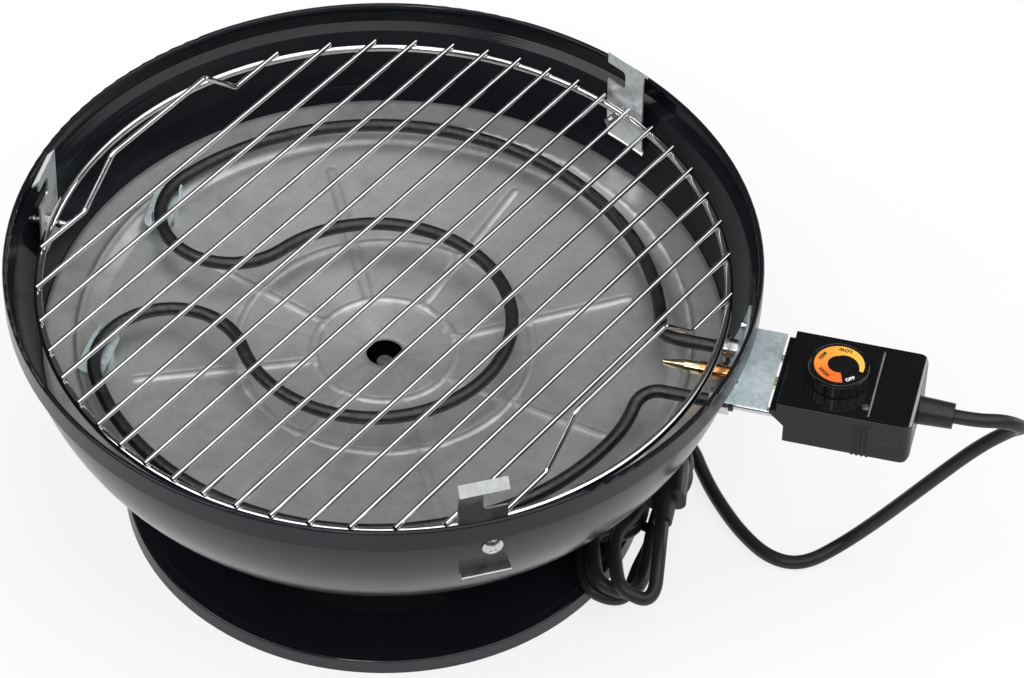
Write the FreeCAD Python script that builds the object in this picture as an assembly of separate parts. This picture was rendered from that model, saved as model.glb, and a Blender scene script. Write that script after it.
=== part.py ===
"""Tabletop electric grill: round bowl on a low base, wire cooking grid, looped heating element and a
plug-in thermostat with its cord.  Millimetres.  +Z is up and the origin is on the table, on the axis
of the bowl; +X runs from the axis to the thermostat."""
import FreeCAD
import Part
import math
import os

Vector = FreeCAD.Vector
UP = Vector(0, 0, 1)
ALONG_X = Vector(1, 0, 0)
ALONG_Y = Vector(0, 1, 0)
ORIGIN = Vector(0, 0, 0)

# Clearances
seat_gap = 0.1           # between pieces that rest on each other in one assembly
part_gap = 0.4           # between pieces that move past each other
running_gap = 0.05       # radial, shaft in its hole
hole_gap = 0.2           # radial, fastener in its hole
far_cut = 60.0           # length that takes a cut well clear of a wall

# Bowl
rim_radius = 222.25
rim_height = 191.0
rim_bead = 3.4
rim_curl = 1.36          # inner turn of the rolled rim
band_height = 15.0
step_height = 4.0
rim_overhang = 3.75      # rim outside the widest part of the wall
wall_arc = 144.0
wall_centre_drop = 2.0   # the wall's arc is upright this far below the rim
corner_arc = 67.0
bowl_depth = 115.0       # rim to the underside of the floor
bowl_sheet = 1.0

# Base and pedestal
base_radius = 159.8
base_height = 8.9
base_taper = 1.0
base_bead = 5.5
base_round = 0.45        # rise left out at the middle of the rounded edge
base_plate_drop = 2.5
base_sheet = 1.5
pedestal_foot = 80.0
pedestal_waist = 58.0
pedestal_mouth = 50.0
pedestal_sheet = 1.2

# Tie bolt through base, pedestal and bowl
bolt_radius = 4.75
bolt_reach = 23.0        # shank above the bowl's floor
bolt_head_width = 16.0
bolt_head_height = 4.0
washer_radius = 12.0
washer_height = 1.6
nut_height = 8.0

# Reflector pan
reflector_depth = 64.5   # flange below the rim
reflector_dish = 19.5    # centre below the flange
reflector_sheet = 0.8
reflector_hole = 11.0
reflector_floor_rise = 14.0
reflector_slope = 10.0   # width of the sloping wall
reflector_inset = 42.25  # top of that wall inside the rim
reflector_bead = 3.0
reflector_bead_height = 1.0
reflector_rings = (42.5, 88.0)   # radii of the raised rings in the floor
reflector_ribs = 8
reflector_rib_start = 28.0       # angle of the first rib
reflector_rib_inset = 20.0       # outer ends inside the floor's edge
emboss_width = 6.0               # ribs and rings
emboss_height = 0.9

# Heating element: two arcs about one centre, joined by round lobes
element_radius = 4.0
element_rise = 7.5       # above the reflector's flange
element_offset = -6.0    # centre of the loops, along X
element_side_gap = 10.2  # outer loop inside the reflector's wall
element_lobe = 44.15     # radius of the lobes
element_lobe_angle = 148.5
leg_spacing = 44.0
leg_lead = 4.2           # straight legs begin this far outside the outer loop
leg_rise_angle = 20.0    # where the outer arc begins to rise to the legs

# Terminals and thermostat socket
pin_depth = 47.25        # probe's axis below the rim
leg_drop = 2.0           # legs and pins below the probe's axis
pin_radius = 2.5
pin_inset = 6.25         # pins begin inside the rim
pin_length = 46.0
bushing_radius = 6.4
bushing_flange = 8.2
bushing_flange_thickness = 2.0
bushing_length = 10.0
terminal_plate_sheet = 1.2
terminal_plate_drop = 7.75   # lower edge below the probe's axis
terminal_plate_gap = 5.0     # upper edge below the band's step
terminal_plate_span = 19.0   # degrees round the wall
rivet_radius = 2.0
rivet_head = 3.8
rivet_head_height = 1.6
rivet_tip = 1.9              # radius of the head's flat top
rivet_tail = 3.0
guard_rivet_rise = 7.3       # above the guard plate
guard_rivet_angle = 6.2

# Guard plate over the terminals
guard_sheet = 1.0
guard_width = 63.5
guard_overhang = 14.55       # reach of the plate outside the rim
guard_rise = 10.95           # top of the plate above the probe's axis
guard_ridge = 1.4            # rise of the fold along its middle
guard_flange_gap = 4.3       # top of its flange below the band's step

# Grid brackets
bracket_angles = (60.0, 179.5, 300.5)
bracket_sheet = 1.2
bracket_width = 29.0
bracket_inset = 15.45        # face nearest the grid, inside the rim
bracket_low_depth = 48.4     # lower tab below the rim
bracket_elbow_depth = 24.0
bracket_rise = 17.3          # top of the bracket above the rim
bracket_lean = 0.5           # top leans in over the elbow
bracket_lip = 7.5
bracket_lip_angle = 50.0     # the lip slopes down and out
bracket_tab = 6.0
bracket_foot_gap = 1.0
bracket_slot_height = 5.0    # slot in the wall for the lower tab
bracket_slot_drop = 3.6      # slot's lower edge below the tab
notch_low_depth = 4.5        # below the rim
notch_height = 13.5
notch_reach = 14.5
notch_corner = 3.0
screw_radius = 2.5
screw_depth = 25.6           # below the rim
screw_offset = 3.0
screw_reach = 11.8           # inner end inside the bracket's face
screw_head = 6.2
screw_head_height = 2.8
screw_dome = 8.0             # radius of the head's round top
screw_recess_width = 1.5
screw_recess_length = 6.0
screw_recess_depth = 1.2
screw_nut_width = 8.0
screw_nut_height = 1.6

# Cooking grid
ring_side_gap = 1.8          # wire of the ring inside the brackets
ring_wire = 2.5              # radius of the ring's wire
grid_wire = 1.6              # radius of the bars
bar_count = 18
handle_inset = 31.14         # outermost bars inside the ring
bar_angle = 66.84
bar_overhang = 1.8
handle_rise = 27.0
handle_top = 85.0            # length of the raised bar
handle_foot = 140.0          # distance between its feet
handle_bend = 5.0

# Element rests: plates under the lobes, with two legs and two ears
rest_length = 36.0           # along the element
rest_width = 16.5
rest_corner = 6.0
rest_sheet = 1.2
rest_leg_width = 8.0
rest_ear_width = 4.0
rest_ear_height = 6.0
rest_ear_place = 13.0        # from the middle, along the element
rest_angle = 182.0           # place on the lobe, about the lobe's own centre

# Thermostat housing
nose_gap = 1.2               # shroud's nose to the guard plate
housing_length = 74.0
housing_side = 9.0           # sides of the housing outside the legs' axes
housing_height = 28.5
housing_wall = 2.2
housing_corner = 6.0
housing_edge = 2.0
housing_inner_edge = 0.3
housing_inner_corner = 0.5
housing_parting = 12.0       # height of the parting plane above the underside
shroud_reach = 9.0           # wedge under the guard plate
shroud_lip = 5.0
shroud_lip_height = 6.0
shroud_edge = 1.5
end_block = 11.0
grip_ribs = 4
grip_rib_pitch = 2.9
grip_rib_width = 1.4
grip_rib_height = 0.8
grip_rib_place = 45.5        # centre of the ribs from the front
grip_rib_drop = 5.0
groove_place = 48.2
groove_width = 0.9
groove_depth = 0.6
groove_inset = 4.0
shell_screw_radius = 1.5
shell_screw_head = 2.8
shell_screw_head_height = 2.0
shell_screw_length = 22.0
shell_boss = 3.4
shell_screw_inset = 5.2
socket_radius = 4.2
socket_end_gap = 1.9         # end of a pin to the socket's floor
socket_gap = 0.4             # radial, pin in its socket
switch_size = (26.0, 28.0, 12.0)
lens_radius = 2.1
lens_place = (45.3, -20.0)
lens_height = 3.4
lens_dome = 0.7

# Probe
probe_radius = 3.8
probe_reach = 78.0           # tip of the probe before the housing
probe_taper = 13.0
probe_tip_radius = 1.6
probe_tail = 11.0
collar_radius = 4.5
collar_setback = 26.0        # end of the collar before the housing
collar_length = 30.0

# Knob and dial
knob_place = 25.3            # from the housing's front
knob_radius = 18.2
knob_height = 10.6
knob_flutes = 26
knob_flute_radius = 1.3
knob_flute_height = 8.6
knob_top_radius = 17.4
dial_radius = 16.4
dial_thickness = 0.8
shaft_radius = 3.0
shaft_length = 17.0
boss_radius = 5.4            # boss of the switch under the shaft
switch_lead = 6.5            # switch before the knob's axis

# Strain relief, cord and plug
relief_root = 8.4
relief_tip = 7.6
relief_length = 20.5
relief_neck = 6.6
relief_flange = 8.6
relief_flange_thickness = 2.5
cord_radius = 4.25
cord_floor = cord_radius + seat_gap

# Hank: turns stacked on each other, drawn in at the waist
tie_width = 7.0
tie_thickness = 1.2
hank_aside = 7.2             # its middle line outside the base
hank_along = -8.0
hank_lift = 2.7              # first turn above the cord's run on the table
hank_splay = 2.5             # the front runs lean out by this
hank_slant = 9.0             # over this length
hank_fronts = (65.0, 66.5, 77.0)   # waist to the front end of each turn
hank_back = 52.0
hank_first_back = 75.0       # the first turn runs further back
hank_lobe = 15.0
hank_first_lobe = 20.0
hank_waist = 5.2
hank_layer = 9.7
hank_tilt = 0.34             # the side by the base lies higher, on its rim
hank_fans = (14.0, 7.5, -8.0)      # shift of each front end towards the base
plug_aside = 13.5            # sleeve's end from the waist
plug_along = -27.5
plug_rise = 37.95
plug_heading = Vector(-0.14, 1.0, 0.1)
sleeve_root = 7.6
sleeve_tip = 5.8
sleeve_length = 17.0
plug_length = 27.0
plug_width = 25.0
plug_thickness = 19.0
plug_corner = 6.0
blade_length = 16.0
blade_width = 6.3
blade_thickness = 1.5
blade_spacing = 12.7
earth_radius = 2.4
earth_drop = 6.5

# Heights and places worked out from the sizes above
wall_centre = (rim_radius - rim_overhang - wall_arc, rim_height - wall_centre_drop)
bowl_floor_height = rim_height - bowl_depth
seam_height = rim_height - band_height
step_foot_height = seam_height - step_height
pin_height = rim_height - pin_depth
leg_height = pin_height - leg_drop
reflector_height = rim_height - reflector_depth
reflector_wall_radius = rim_radius - reflector_inset
reflector_floor_radius = reflector_wall_radius - reflector_slope
element_height = reflector_height + element_rise
element_outer = reflector_wall_radius - element_side_gap
element_inner = element_outer - 2 * element_lobe
leg_start = element_outer + leg_lead
pin_start = rim_radius - pin_inset
pin_end = pin_start + pin_length
bracket_inner = rim_radius - bracket_inset
screw_inner = bracket_inner - screw_reach
ring_radius = bracket_inner - ring_side_gap - ring_wire
bar_pitch = 2 * (ring_radius - handle_inset) / (bar_count - 1)
screw_height = rim_height - screw_depth
ring_height = screw_height + screw_radius + part_gap + ring_wire
bar_height = ring_height + ring_wire + grid_wire + seat_gap
guard_top = pin_height + guard_rise
guard_reach = rim_radius + guard_overhang
guard_flange_top = step_foot_height - guard_flange_gap
guard_rivet_height = guard_top + guard_rivet_rise
housing_front = guard_reach + nose_gap + shroud_reach
housing_width = leg_spacing + 2 * housing_side
socket_length = pin_end + socket_end_gap + housing_wall - housing_front - seat_gap
housing_low = pin_height - housing_height / 2
housing_top_height = housing_low + housing_height
housing_end = housing_front + housing_length
parting_height = housing_low + housing_parting
probe_tip = housing_front - probe_reach
collar_start = housing_front - collar_setback - collar_length
cord_exit = Vector(housing_end + relief_length, 0, pin_height)
base_edge = Vector(base_radius, 0, cord_floor)
hank_centre = base_edge + Vector(hank_aside, hank_along, hank_lift)
plug_sleeve_entry = hank_centre + Vector(plug_aside, plug_along, plug_rise)

# Free cord: from the strain relief down to the table, and back to the hank beside the base
cord_route = (
    cord_exit, cord_exit + Vector(14.0, 0.0, 0.0), cord_exit + Vector(29.0, 4.0, -0.25),
    cord_exit + Vector(40.5, 14.0, -12.75), cord_exit + Vector(33.0, 23.0, -25.25),
    cord_exit + Vector(14.5, 20.5, -42.75), cord_exit + Vector(-10.5, 14.5, -73.75),
    cord_exit + Vector(-35.5, 12.0, -108.75), base_edge + Vector(123.7, 9.0, 2.65),
    base_edge + Vector(103.7, -11.0, 0.0), base_edge + Vector(83.2, -11.0, 0.0),
    base_edge + Vector(62.7, 4.5, 0.0), base_edge + Vector(45.2, 24.5, 0.0),
    base_edge + Vector(31.2, 44.0, 0.0),
)
cord_run_share = 0.45        # of each run, taken up by the arc at its end


def polar(radius, angle, height=0.0):
    """Point at a radius and an angle in degrees about the bowl's axis."""
    turn = math.radians(angle)
    return Vector(radius * math.cos(turn), radius * math.sin(turn), height)


def wall_radius(height, inset=0.0):
    """Radius of the bowl's wall at a height, moved in from the outer face by the inset."""
    drop = wall_centre[1] - height
    return wall_centre[0] + math.sqrt((wall_arc - inset) ** 2 - drop ** 2)


def outline(start, steps):
    """Closed wire in the XZ plane: a step is a point, or a pair of points for an arc."""
    edges = []
    here = Vector(start[0], 0, start[1])
    for step in steps + [start]:
        if isinstance(step[0], tuple):
            middle = Vector(step[0][0], 0, step[0][1])
            there = Vector(step[1][0], 0, step[1][1])
            edges.append(Part.Arc(here, middle, there).toShape())
        else:
            there = Vector(step[0], 0, step[1])
            if there.distanceToPoint(here) < 1e-6:
                continue
            edges.append(Part.LineSegment(here, there).toShape())
        here = there
    return Part.Wire(edges)


def spun(start, steps, sweep=360.0):
    """Solid of revolution about the bowl's axis."""
    return Part.Face(outline(start, steps)).revolve(ORIGIN, UP, sweep)


def wall_strip(low, high, inner, outer, span):
    """Curved strip that follows the bowl's wall between two insets, centred on +X."""
    middle = (low + high) / 2
    strip = spun((wall_radius(low, outer), low), [
        ((wall_radius(middle, outer), middle), (wall_radius(high, outer), high)),
        (wall_radius(high, inner), high),
        ((wall_radius(middle, inner), middle), (wall_radius(low, inner), low)),
    ], span)
    strip.rotate(ORIGIN, UP, -span / 2)
    return strip


def rod(start, direction, radius, length):
    """Round rod from a point along a direction."""
    return Part.makeCylinder(radius, length, start, direction)


def hexagon(centre, direction, width, height):
    """Hexagonal prism with a width across its flats."""
    corner = width / math.sqrt(3)
    points = [polar(corner, 60 * side) for side in range(7)]
    prism = Part.Face(Part.makePolygon(points)).extrude(UP * height)
    prism.Placement = FreeCAD.Placement(centre, FreeCAD.Rotation(UP, direction))
    return prism


def box(low, high):
    """Box between its lowest and highest corners."""
    size = high - low
    return Part.makeBox(size.x, size.y, size.z, low)


def turned(shape, angle):
    """Copy of a shape, turned about the bowl's axis."""
    copy = shape.copy()
    copy.rotate(ORIGIN, UP, angle)
    return copy


def mirrored(shape):
    """Copy of a shape, mirrored in the XZ plane."""
    return shape.mirror(ORIGIN, ALONG_Y)


def tangent_arc(start, heading, end):
    """Arc that leaves a point along a heading and ends at another point."""
    chord = end - start
    along = heading.dot(chord)
    if chord.Length - along / heading.Length < 1e-7:
        return Part.LineSegment(start, end).toShape()
    across = chord - heading * (along / heading.dot(heading))
    half_turn = math.atan2(across.Length, along / heading.Length)
    side = across * (1 / across.Length)
    sagitta = chord.Length / 2 * math.tan(half_turn / 2)
    middle = start + chord * 0.5
    bulge = chord.cross(side.cross(chord))
    middle = middle - bulge * (sagitta / bulge.Length)
    return Part.Arc(start, middle, end).toShape()


def biarc(start, heading, end, end_heading):
    """Two tangent arcs between two points with given headings."""
    first = heading * (1 / heading.Length)
    last = end_heading * (1 / end_heading.Length)
    span = end - start
    both = first + last
    square = 2 * (1 - first.dot(last))
    linear = span.dot(both)
    if square < 1e-9:
        reach = span.dot(span) / (2 * linear)
    else:
        root = math.sqrt(linear ** 2 + square * span.dot(span))
        reach = (root - linear) / square
    joint = (start + first * reach + end - last * reach) * 0.5
    from_end = tangent_arc(end, last * -1, joint)
    return [tangent_arc(start, first, joint), reverse_edge(from_end)]


def reverse_edge(edge):
    """The same line or arc, drawn the other way."""
    first = edge.valueAt(edge.FirstParameter)
    middle = edge.valueAt((edge.FirstParameter + edge.LastParameter) / 2)
    last = edge.valueAt(edge.LastParameter)
    if edge.Length - first.distanceToPoint(last) < 1e-7:
        return Part.LineSegment(last, first).toShape()
    return Part.Arc(last, middle, first).toShape()


def tube(edges, radius):
    """Round tube along tangent edges."""
    start = edges[0].valueAt(edges[0].FirstParameter)
    heading = edges[0].tangentAt(edges[0].FirstParameter)
    section = Part.Wire(Part.makeCircle(radius, start, heading))
    return Part.Wire(edges).makePipeShell([section], True, False)


def rounded_path(points, radii):
    """Straight runs between points, joined by arcs of the given radii."""
    edges = []
    here = points[0]
    for before, corner, after, radius in zip(points, points[1:], points[2:], radii):
        inward = (before - corner).normalize()
        outward = (after - corner).normalize()
        turn = math.pi - inward.getAngle(outward)
        trim = radius * math.tan(turn / 2)
        arc_start = corner + inward * trim
        arc_end = corner + outward * trim
        bisector = (inward + outward).normalize()
        middle = corner + bisector * (radius / math.cos(turn / 2) - radius)
        edges.append(Part.LineSegment(here, arc_start).toShape())
        edges.append(Part.Arc(arc_start, middle, arc_end).toShape())
        here = arc_end
    edges.append(Part.LineSegment(here, points[-1]).toShape())
    return edges


def path_length(edges):
    """Length along a chain of edges."""
    return sum(edge.Length for edge in edges)


def bowl_solid(inset, top):
    """The space inside the bowl's wall, moved in by an inset and cut off at a height."""
    corner_height = bowl_floor_height + corner_arc
    centre_gap = wall_arc - corner_arc
    corner_place = wall_centre[0] + math.sqrt(centre_gap ** 2 - (wall_centre[1] - corner_height) ** 2)
    lean = math.atan2(wall_centre[1] - corner_height, corner_place - wall_centre[0])
    join = (wall_centre[0] + (wall_arc - inset) * math.cos(lean),
            wall_centre[1] - (wall_arc - inset) * math.sin(lean))
    low = bowl_floor_height + inset
    half_lean = (lean + math.pi / 2) / 2
    corner_middle = (corner_place + (corner_arc - inset) * math.cos(half_lean),
                     corner_height - (corner_arc - inset) * math.sin(half_lean))
    middle_height = (join[1] + top) / 2
    return spun((0, low), [
        (corner_place, low),
        (corner_middle, join),
        ((wall_radius(middle_height, inset), middle_height), (wall_radius(top, inset), top)),
        (0, top),
    ])


def make_bowl():
    """Spun steel bowl with a stepped band and a rolled rim, and holes for all that passes the wall."""
    outside = bowl_solid(0.0, step_foot_height)
    inside = bowl_solid(bowl_sheet, step_foot_height + bowl_sheet)
    foot = wall_radius(step_foot_height)
    slope = math.atan2(step_height, rim_radius - foot)
    lift = bowl_sheet * math.tan((math.pi / 2 - slope) / 2)
    inner_foot_height = step_foot_height + lift
    inner_face = rim_radius - bowl_sheet
    bead_centre = rim_height - rim_bead / 2
    band = spun((foot, step_foot_height), [
        (rim_radius, seam_height),
        (rim_radius, bead_centre),
        ((rim_radius - rim_bead / 2, rim_height), (rim_radius - rim_bead, bead_centre)),
        ((rim_radius - rim_bead + rim_curl, rim_height - rim_bead), (inner_face, bead_centre - rim_curl)),
        (inner_face, seam_height + lift),
        (wall_radius(inner_foot_height, bowl_sheet), inner_foot_height),
        (wall_radius(step_foot_height, bowl_sheet), step_foot_height),
    ])
    shell = outside.cut(inside).fuse(band).removeSplitter()
    cuts = [rod(Vector(0, 0, 0), UP, bolt_radius + hole_gap, rim_height)]
    reach = rim_radius - far_cut
    for angle in bracket_angles:
        low = rim_height - bracket_low_depth - bracket_slot_drop
        slot = box(Vector(reach, -bracket_width / 2 - hole_gap, low),
                   Vector(rim_radius, bracket_width / 2 + hole_gap, low + bracket_slot_height))
        hole = rod(Vector(reach, screw_offset, screw_height), ALONG_X, screw_radius + hole_gap, far_cut)
        cuts += [turned(slot, angle), turned(hole, angle)]
    cuts += terminal_holes(bushing_radius + hole_gap)
    return shell.cut(cuts)


def terminal_holes(leg_hole):
    """Cutting rods for the element's legs, the probe and the guard's rivets."""
    reach = rim_radius - far_cut
    rods = [rod(Vector(reach, 0, pin_height), ALONG_X, collar_radius + part_gap, far_cut)]
    for side in (-1, 1):
        leg = Vector(reach, side * leg_spacing / 2, leg_height)
        rods.append(rod(leg, ALONG_X, leg_hole, far_cut))
        hole = rod(Vector(reach, 0, guard_rivet_height), ALONG_X, rivet_radius + hole_gap, far_cut)
        rods.append(turned(hole, side * guard_rivet_angle))
    return rods


def make_base():
    """Pressed round base: a tapered, rolled edge and a sunk plate."""
    top = base_radius - base_taper
    plate = base_height - base_plate_drop
    shell = spun((base_radius, 0), [
        (top, base_height - base_sheet),
        ((top - base_round, base_height - base_round), (top - base_sheet, base_height)),
        (top - base_bead, base_height),
        (top - base_bead - base_plate_drop, plate),
        (bolt_radius + hole_gap, plate),
        (bolt_radius + hole_gap, plate - base_sheet),
        (top - base_bead - base_plate_drop + base_sheet / 2, plate - base_sheet),
        (top - base_bead + base_sheet / 2, base_height - base_sheet),
        (top - 2 * base_sheet, base_height - base_sheet),
        (base_radius - base_sheet, 0),
    ])
    return shell


def make_pedestal():
    """Waisted sheet-metal column with turned-out flanges."""
    low = base_height - base_plate_drop
    high = bowl_floor_height
    middle = (low + high) / 2
    sheet = pedestal_sheet
    return spun((pedestal_mouth, low), [
        (pedestal_foot, low),
        (pedestal_foot, low + sheet),
        ((pedestal_waist, middle), (pedestal_foot, high - sheet)),
        (pedestal_foot, high),
        (pedestal_mouth, high),
        (pedestal_mouth, high - sheet),
        (pedestal_foot - 2 * sheet, high - sheet),
        ((pedestal_waist - sheet, middle), (pedestal_foot - 2 * sheet, low + sheet)),
        (pedestal_mouth, low + sheet),
    ])


def make_tie_bolt():
    """Hexagon bolt from under the base to above the bowl's floor."""
    head_top = base_height - base_plate_drop - base_sheet
    head = hexagon(Vector(0, 0, head_top - bolt_head_height), UP, bolt_head_width, bolt_head_height)
    reach = bowl_floor_height + bowl_sheet + bolt_reach - head_top
    return head.fuse(rod(Vector(0, 0, head_top), UP, bolt_radius, reach)).removeSplitter()


def make_tie_nut():
    """Nut and washer on the bowl's floor, as two solids."""
    low = bowl_floor_height + bowl_sheet
    bore = rod(Vector(0, 0, low - washer_height), UP, bolt_radius + running_gap, far_cut)
    washer = rod(Vector(0, 0, low), UP, washer_radius, washer_height).cut(bore)
    nut = hexagon(Vector(0, 0, low + washer_height), UP, bolt_head_width, nut_height).cut(bore)
    return Part.makeCompound([washer, nut])


def reflector_floor(radius):
    """Height of the reflector's floor, on its upper face."""
    share = (radius - reflector_hole) / (reflector_floor_radius - reflector_hole)
    return reflector_height - reflector_dish + reflector_floor_rise * share


def reflector_top(radius):
    """Height of the reflector's upper face, from its floor over the sloping wall to its flange."""
    if radius < reflector_floor_radius:
        return reflector_floor(radius)
    share = min((radius - reflector_floor_radius) / reflector_slope, 1.0)
    corner = reflector_floor(reflector_floor_radius)
    return corner + (reflector_height - corner) * share


def floor_ring(radius, drop):
    """Stretch of the floor's outline over a raised ring, on its upper face or below it."""
    half = emboss_width / 2
    places = (radius - half, radius, radius + half)
    start, crest, end = [(place, reflector_floor(place) - drop) for place in places]
    return start, ((crest[0], crest[1] + emboss_height), end)


def rib_line(angle):
    """Ends of a rib's centre line on the reflector's floor, and the direction up from the floor there."""
    ends = []
    for radius in (reflector_rings[0], reflector_floor_radius - reflector_rib_inset):
        ends.append(polar(radius, angle) + UP * reflector_floor(radius))
    along = (ends[1] - ends[0]).normalize()
    across = UP.cross(along).normalize()
    return ends, along.cross(across)


def rib_round(angle, inset):
    """Round-ended bar that gives a rib its upper face, or its hollow when moved in."""
    radius = (emboss_width ** 2 / 4 + emboss_height ** 2) / (2 * emboss_height)
    (start, end), normal = rib_line(angle)
    sink = normal * (radius - emboss_height)
    start, end = start - sink, end - sink
    bar = rod(start, end - start, radius - inset, (end - start).Length)
    return bar.fuse([Part.makeSphere(radius - inset, place) for place in (start, end)]).removeSplitter()


def make_reflector():
    """Bright dished pan with raised rings and ribs, whose flange rests against the bowl's wall."""
    sheet = reflector_sheet
    low = reflector_floor(reflector_hole)
    corner = reflector_floor(reflector_floor_radius)
    edge = wall_radius(reflector_height - sheet, bowl_sheet) - seat_gap
    bead = reflector_wall_radius + reflector_bead
    upper = []
    lower = []
    for radius in reflector_rings:
        upper += floor_ring(radius, 0.0)
        start, (crest, end) = floor_ring(radius, sheet)
        lower = [end, (crest, start)] + lower
    pan = spun((reflector_hole, low), upper + [
        (reflector_floor_radius, corner),
        (reflector_wall_radius, reflector_height),
        ((reflector_wall_radius + reflector_bead / 2, reflector_height + reflector_bead_height),
         (bead, reflector_height)),
        (edge, reflector_height),
        (edge, reflector_height - sheet),
        (reflector_wall_radius + sheet / 2, reflector_height - sheet),
        (reflector_floor_radius + sheet / 2, corner - sheet),
    ] + lower + [
        (reflector_hole, low - sheet),
    ])
    over = spun((reflector_hole, low - sheet / 2), [
        (reflector_floor_radius, corner - sheet / 2),
        (reflector_floor_radius, reflector_height),
        (reflector_hole, reflector_height),
    ])
    angles = [reflector_rib_start + 360 * index / reflector_ribs for index in range(reflector_ribs)]
    ribs = [rib_round(angle, 0.0).common(over) for angle in angles]
    hollows = [rib_round(angle, sheet) for angle in angles]
    return pan.fuse(ribs).cut(hollows).removeSplitter()


def lobe_centre():
    """Centre of the element's left-hand lobe on the +Y side."""
    reach = (element_outer + element_inner) / 2
    return polar(reach, element_lobe_angle, element_height) + Vector(element_offset, 0, 0)


def element_path():
    """Centre line of the element from the end of one leg to the other."""
    centre = Vector(element_offset, 0, element_height)
    lobe = lobe_centre()
    leg = leg_spacing / 2
    outer_start = centre + polar(element_outer, leg_rise_angle)
    outer_middle = centre + polar(element_outer, (leg_rise_angle + element_lobe_angle) / 2)
    outer_end = centre + polar(element_outer, element_lobe_angle)
    inner_start = centre + polar(element_inner, element_lobe_angle)
    lobe_middle = lobe + polar(element_lobe, element_lobe_angle + 90)
    inner_end = mirror_point(inner_start)
    inner_middle = centre + Vector(element_inner, 0, 0)
    leg_end = Vector(pin_start, leg, leg_height)
    leg_root = Vector(leg_start, leg, leg_height)
    half = [Part.LineSegment(leg_end, leg_root).toShape()]
    half += biarc(leg_root, ALONG_X * -1, outer_start, polar(1.0, leg_rise_angle + 90))
    half.append(Part.Arc(outer_start, outer_middle, outer_end).toShape())
    half.append(Part.Arc(outer_end, lobe_middle, inner_start).toShape())
    other = [reverse_edge(mirror_edge(edge)) for edge in reversed(half)]
    return half + [Part.Arc(inner_start, inner_middle, inner_end).toShape()] + other


def mirror_point(point):
    """A point mirrored in the XZ plane."""
    return Vector(point.x, -point.y, point.z)


def mirror_edge(edge):
    """A line or an arc mirrored in the XZ plane."""
    first = mirror_point(edge.valueAt(edge.FirstParameter))
    middle = mirror_point(edge.valueAt((edge.FirstParameter + edge.LastParameter) / 2))
    last = mirror_point(edge.valueAt(edge.LastParameter))
    if edge.Length - first.distanceToPoint(last) < 1e-7:
        return Part.LineSegment(first, last).toShape()
    return Part.Arc(first, middle, last).toShape()


def make_terminal_pins():
    """Two pins that carry the current from the legs into the thermostat."""
    pins = []
    for side in (-1, 1):
        start = Vector(pin_start, side * leg_spacing / 2, leg_height)
        pin = rod(start, ALONG_X, pin_radius, pin_length - pin_radius)
        nose = Part.makeCone(pin_radius, pin_radius / 2, pin_radius,
                             start + ALONG_X * (pin_length - pin_radius), ALONG_X)
        pins.append(pin.fuse(nose).removeSplitter())
    return Part.makeCompound(pins)


def flange_seat(leg):
    """Distance from the axis at which a bushing's flat flange just meets the curved terminal plate."""
    inset = bowl_sheet + terminal_plate_sheet
    reaches = []
    for step in range(24):
        edge = polar(bushing_flange, 15 * step)
        reaches.append(math.sqrt(wall_radius(leg_height + edge.y, inset) ** 2 - (leg + edge.x) ** 2))
    return min(reaches)


def make_bushings():
    """Insulating bushings for the legs, flanged on the inside of the bowl."""
    bushings = []
    for side in (-1, 1):
        leg = side * leg_spacing / 2
        plate_face = flange_seat(abs(leg)) - seat_gap
        face = Vector(plate_face, leg, leg_height)
        sleeve = rod(face, ALONG_X, bushing_radius, bushing_length)
        back = face - ALONG_X * bushing_flange_thickness
        flange = rod(back, ALONG_X, bushing_flange, bushing_flange_thickness)
        bore = rod(face - ALONG_X * far_cut / 2, ALONG_X, element_radius + running_gap, far_cut)
        bushings.append(sleeve.fuse(flange).removeSplitter().cut(bore))
    return Part.makeCompound(bushings)


def make_terminal_plate():
    """Galvanised plate inside the wall that carries the bushings."""
    plate = wall_strip(pin_height - terminal_plate_drop, step_foot_height - terminal_plate_gap,
                       bowl_sheet + seat_gap, bowl_sheet + terminal_plate_sheet, terminal_plate_span)
    return plate.cut(terminal_holes(bushing_radius + hole_gap))


def make_guard():
    """Folded plate over the terminals, with a flange up the outside of the wall."""
    half = guard_width / 2
    low = guard_top - guard_sheet
    section = [
        Vector(0, -half, low - guard_ridge), Vector(0, 0, low), Vector(0, half, low - guard_ridge),
        Vector(0, half, low - guard_ridge + guard_sheet), Vector(0, 0, guard_top),
        Vector(0, -half, low - guard_ridge + guard_sheet), Vector(0, -half, low - guard_ridge),
    ]
    plate = Part.Face(Part.makePolygon(section)).extrude(ALONG_X * guard_reach)
    plate = plate.cut(bowl_solid(-seat_gap, step_foot_height))
    flange_low = low - guard_ridge
    span = 2 * math.degrees(math.asin(half / wall_radius(guard_top)))
    flange = wall_strip(flange_low, guard_flange_top, -seat_gap, -guard_sheet, span)
    return flange.fuse(plate).removeSplitter().cut(terminal_holes(pin_radius))


def make_guard_rivets():
    """Rivets through the guard's flange, the wall and the terminal plate."""
    height = guard_rivet_height
    outer = wall_radius(height + rivet_head, -guard_sheet) + seat_gap
    inner = wall_radius(height - rivet_head, bowl_sheet + terminal_plate_sheet) - seat_gap
    shank = rod(Vector(inner, 0, height), ALONG_X, rivet_radius, outer - inner)
    head = Part.makeCone(rivet_head, rivet_tip, rivet_head_height, Vector(outer, 0, height), ALONG_X)
    tail = rod(Vector(inner - rivet_head_height, 0, height), ALONG_X, rivet_tail, rivet_head_height)
    rivet = shank.fuse([head, tail]).removeSplitter()
    return Part.makeCompound([turned(rivet, side * guard_rivet_angle) for side in (-1, 1)])


def bracket_foot():
    """Distance from the axis to the inner face of a bracket at its foot."""
    height = rim_height - bracket_low_depth + bracket_sheet
    return wall_radius(height, bowl_sheet) - bracket_foot_gap - bracket_sheet


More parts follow.
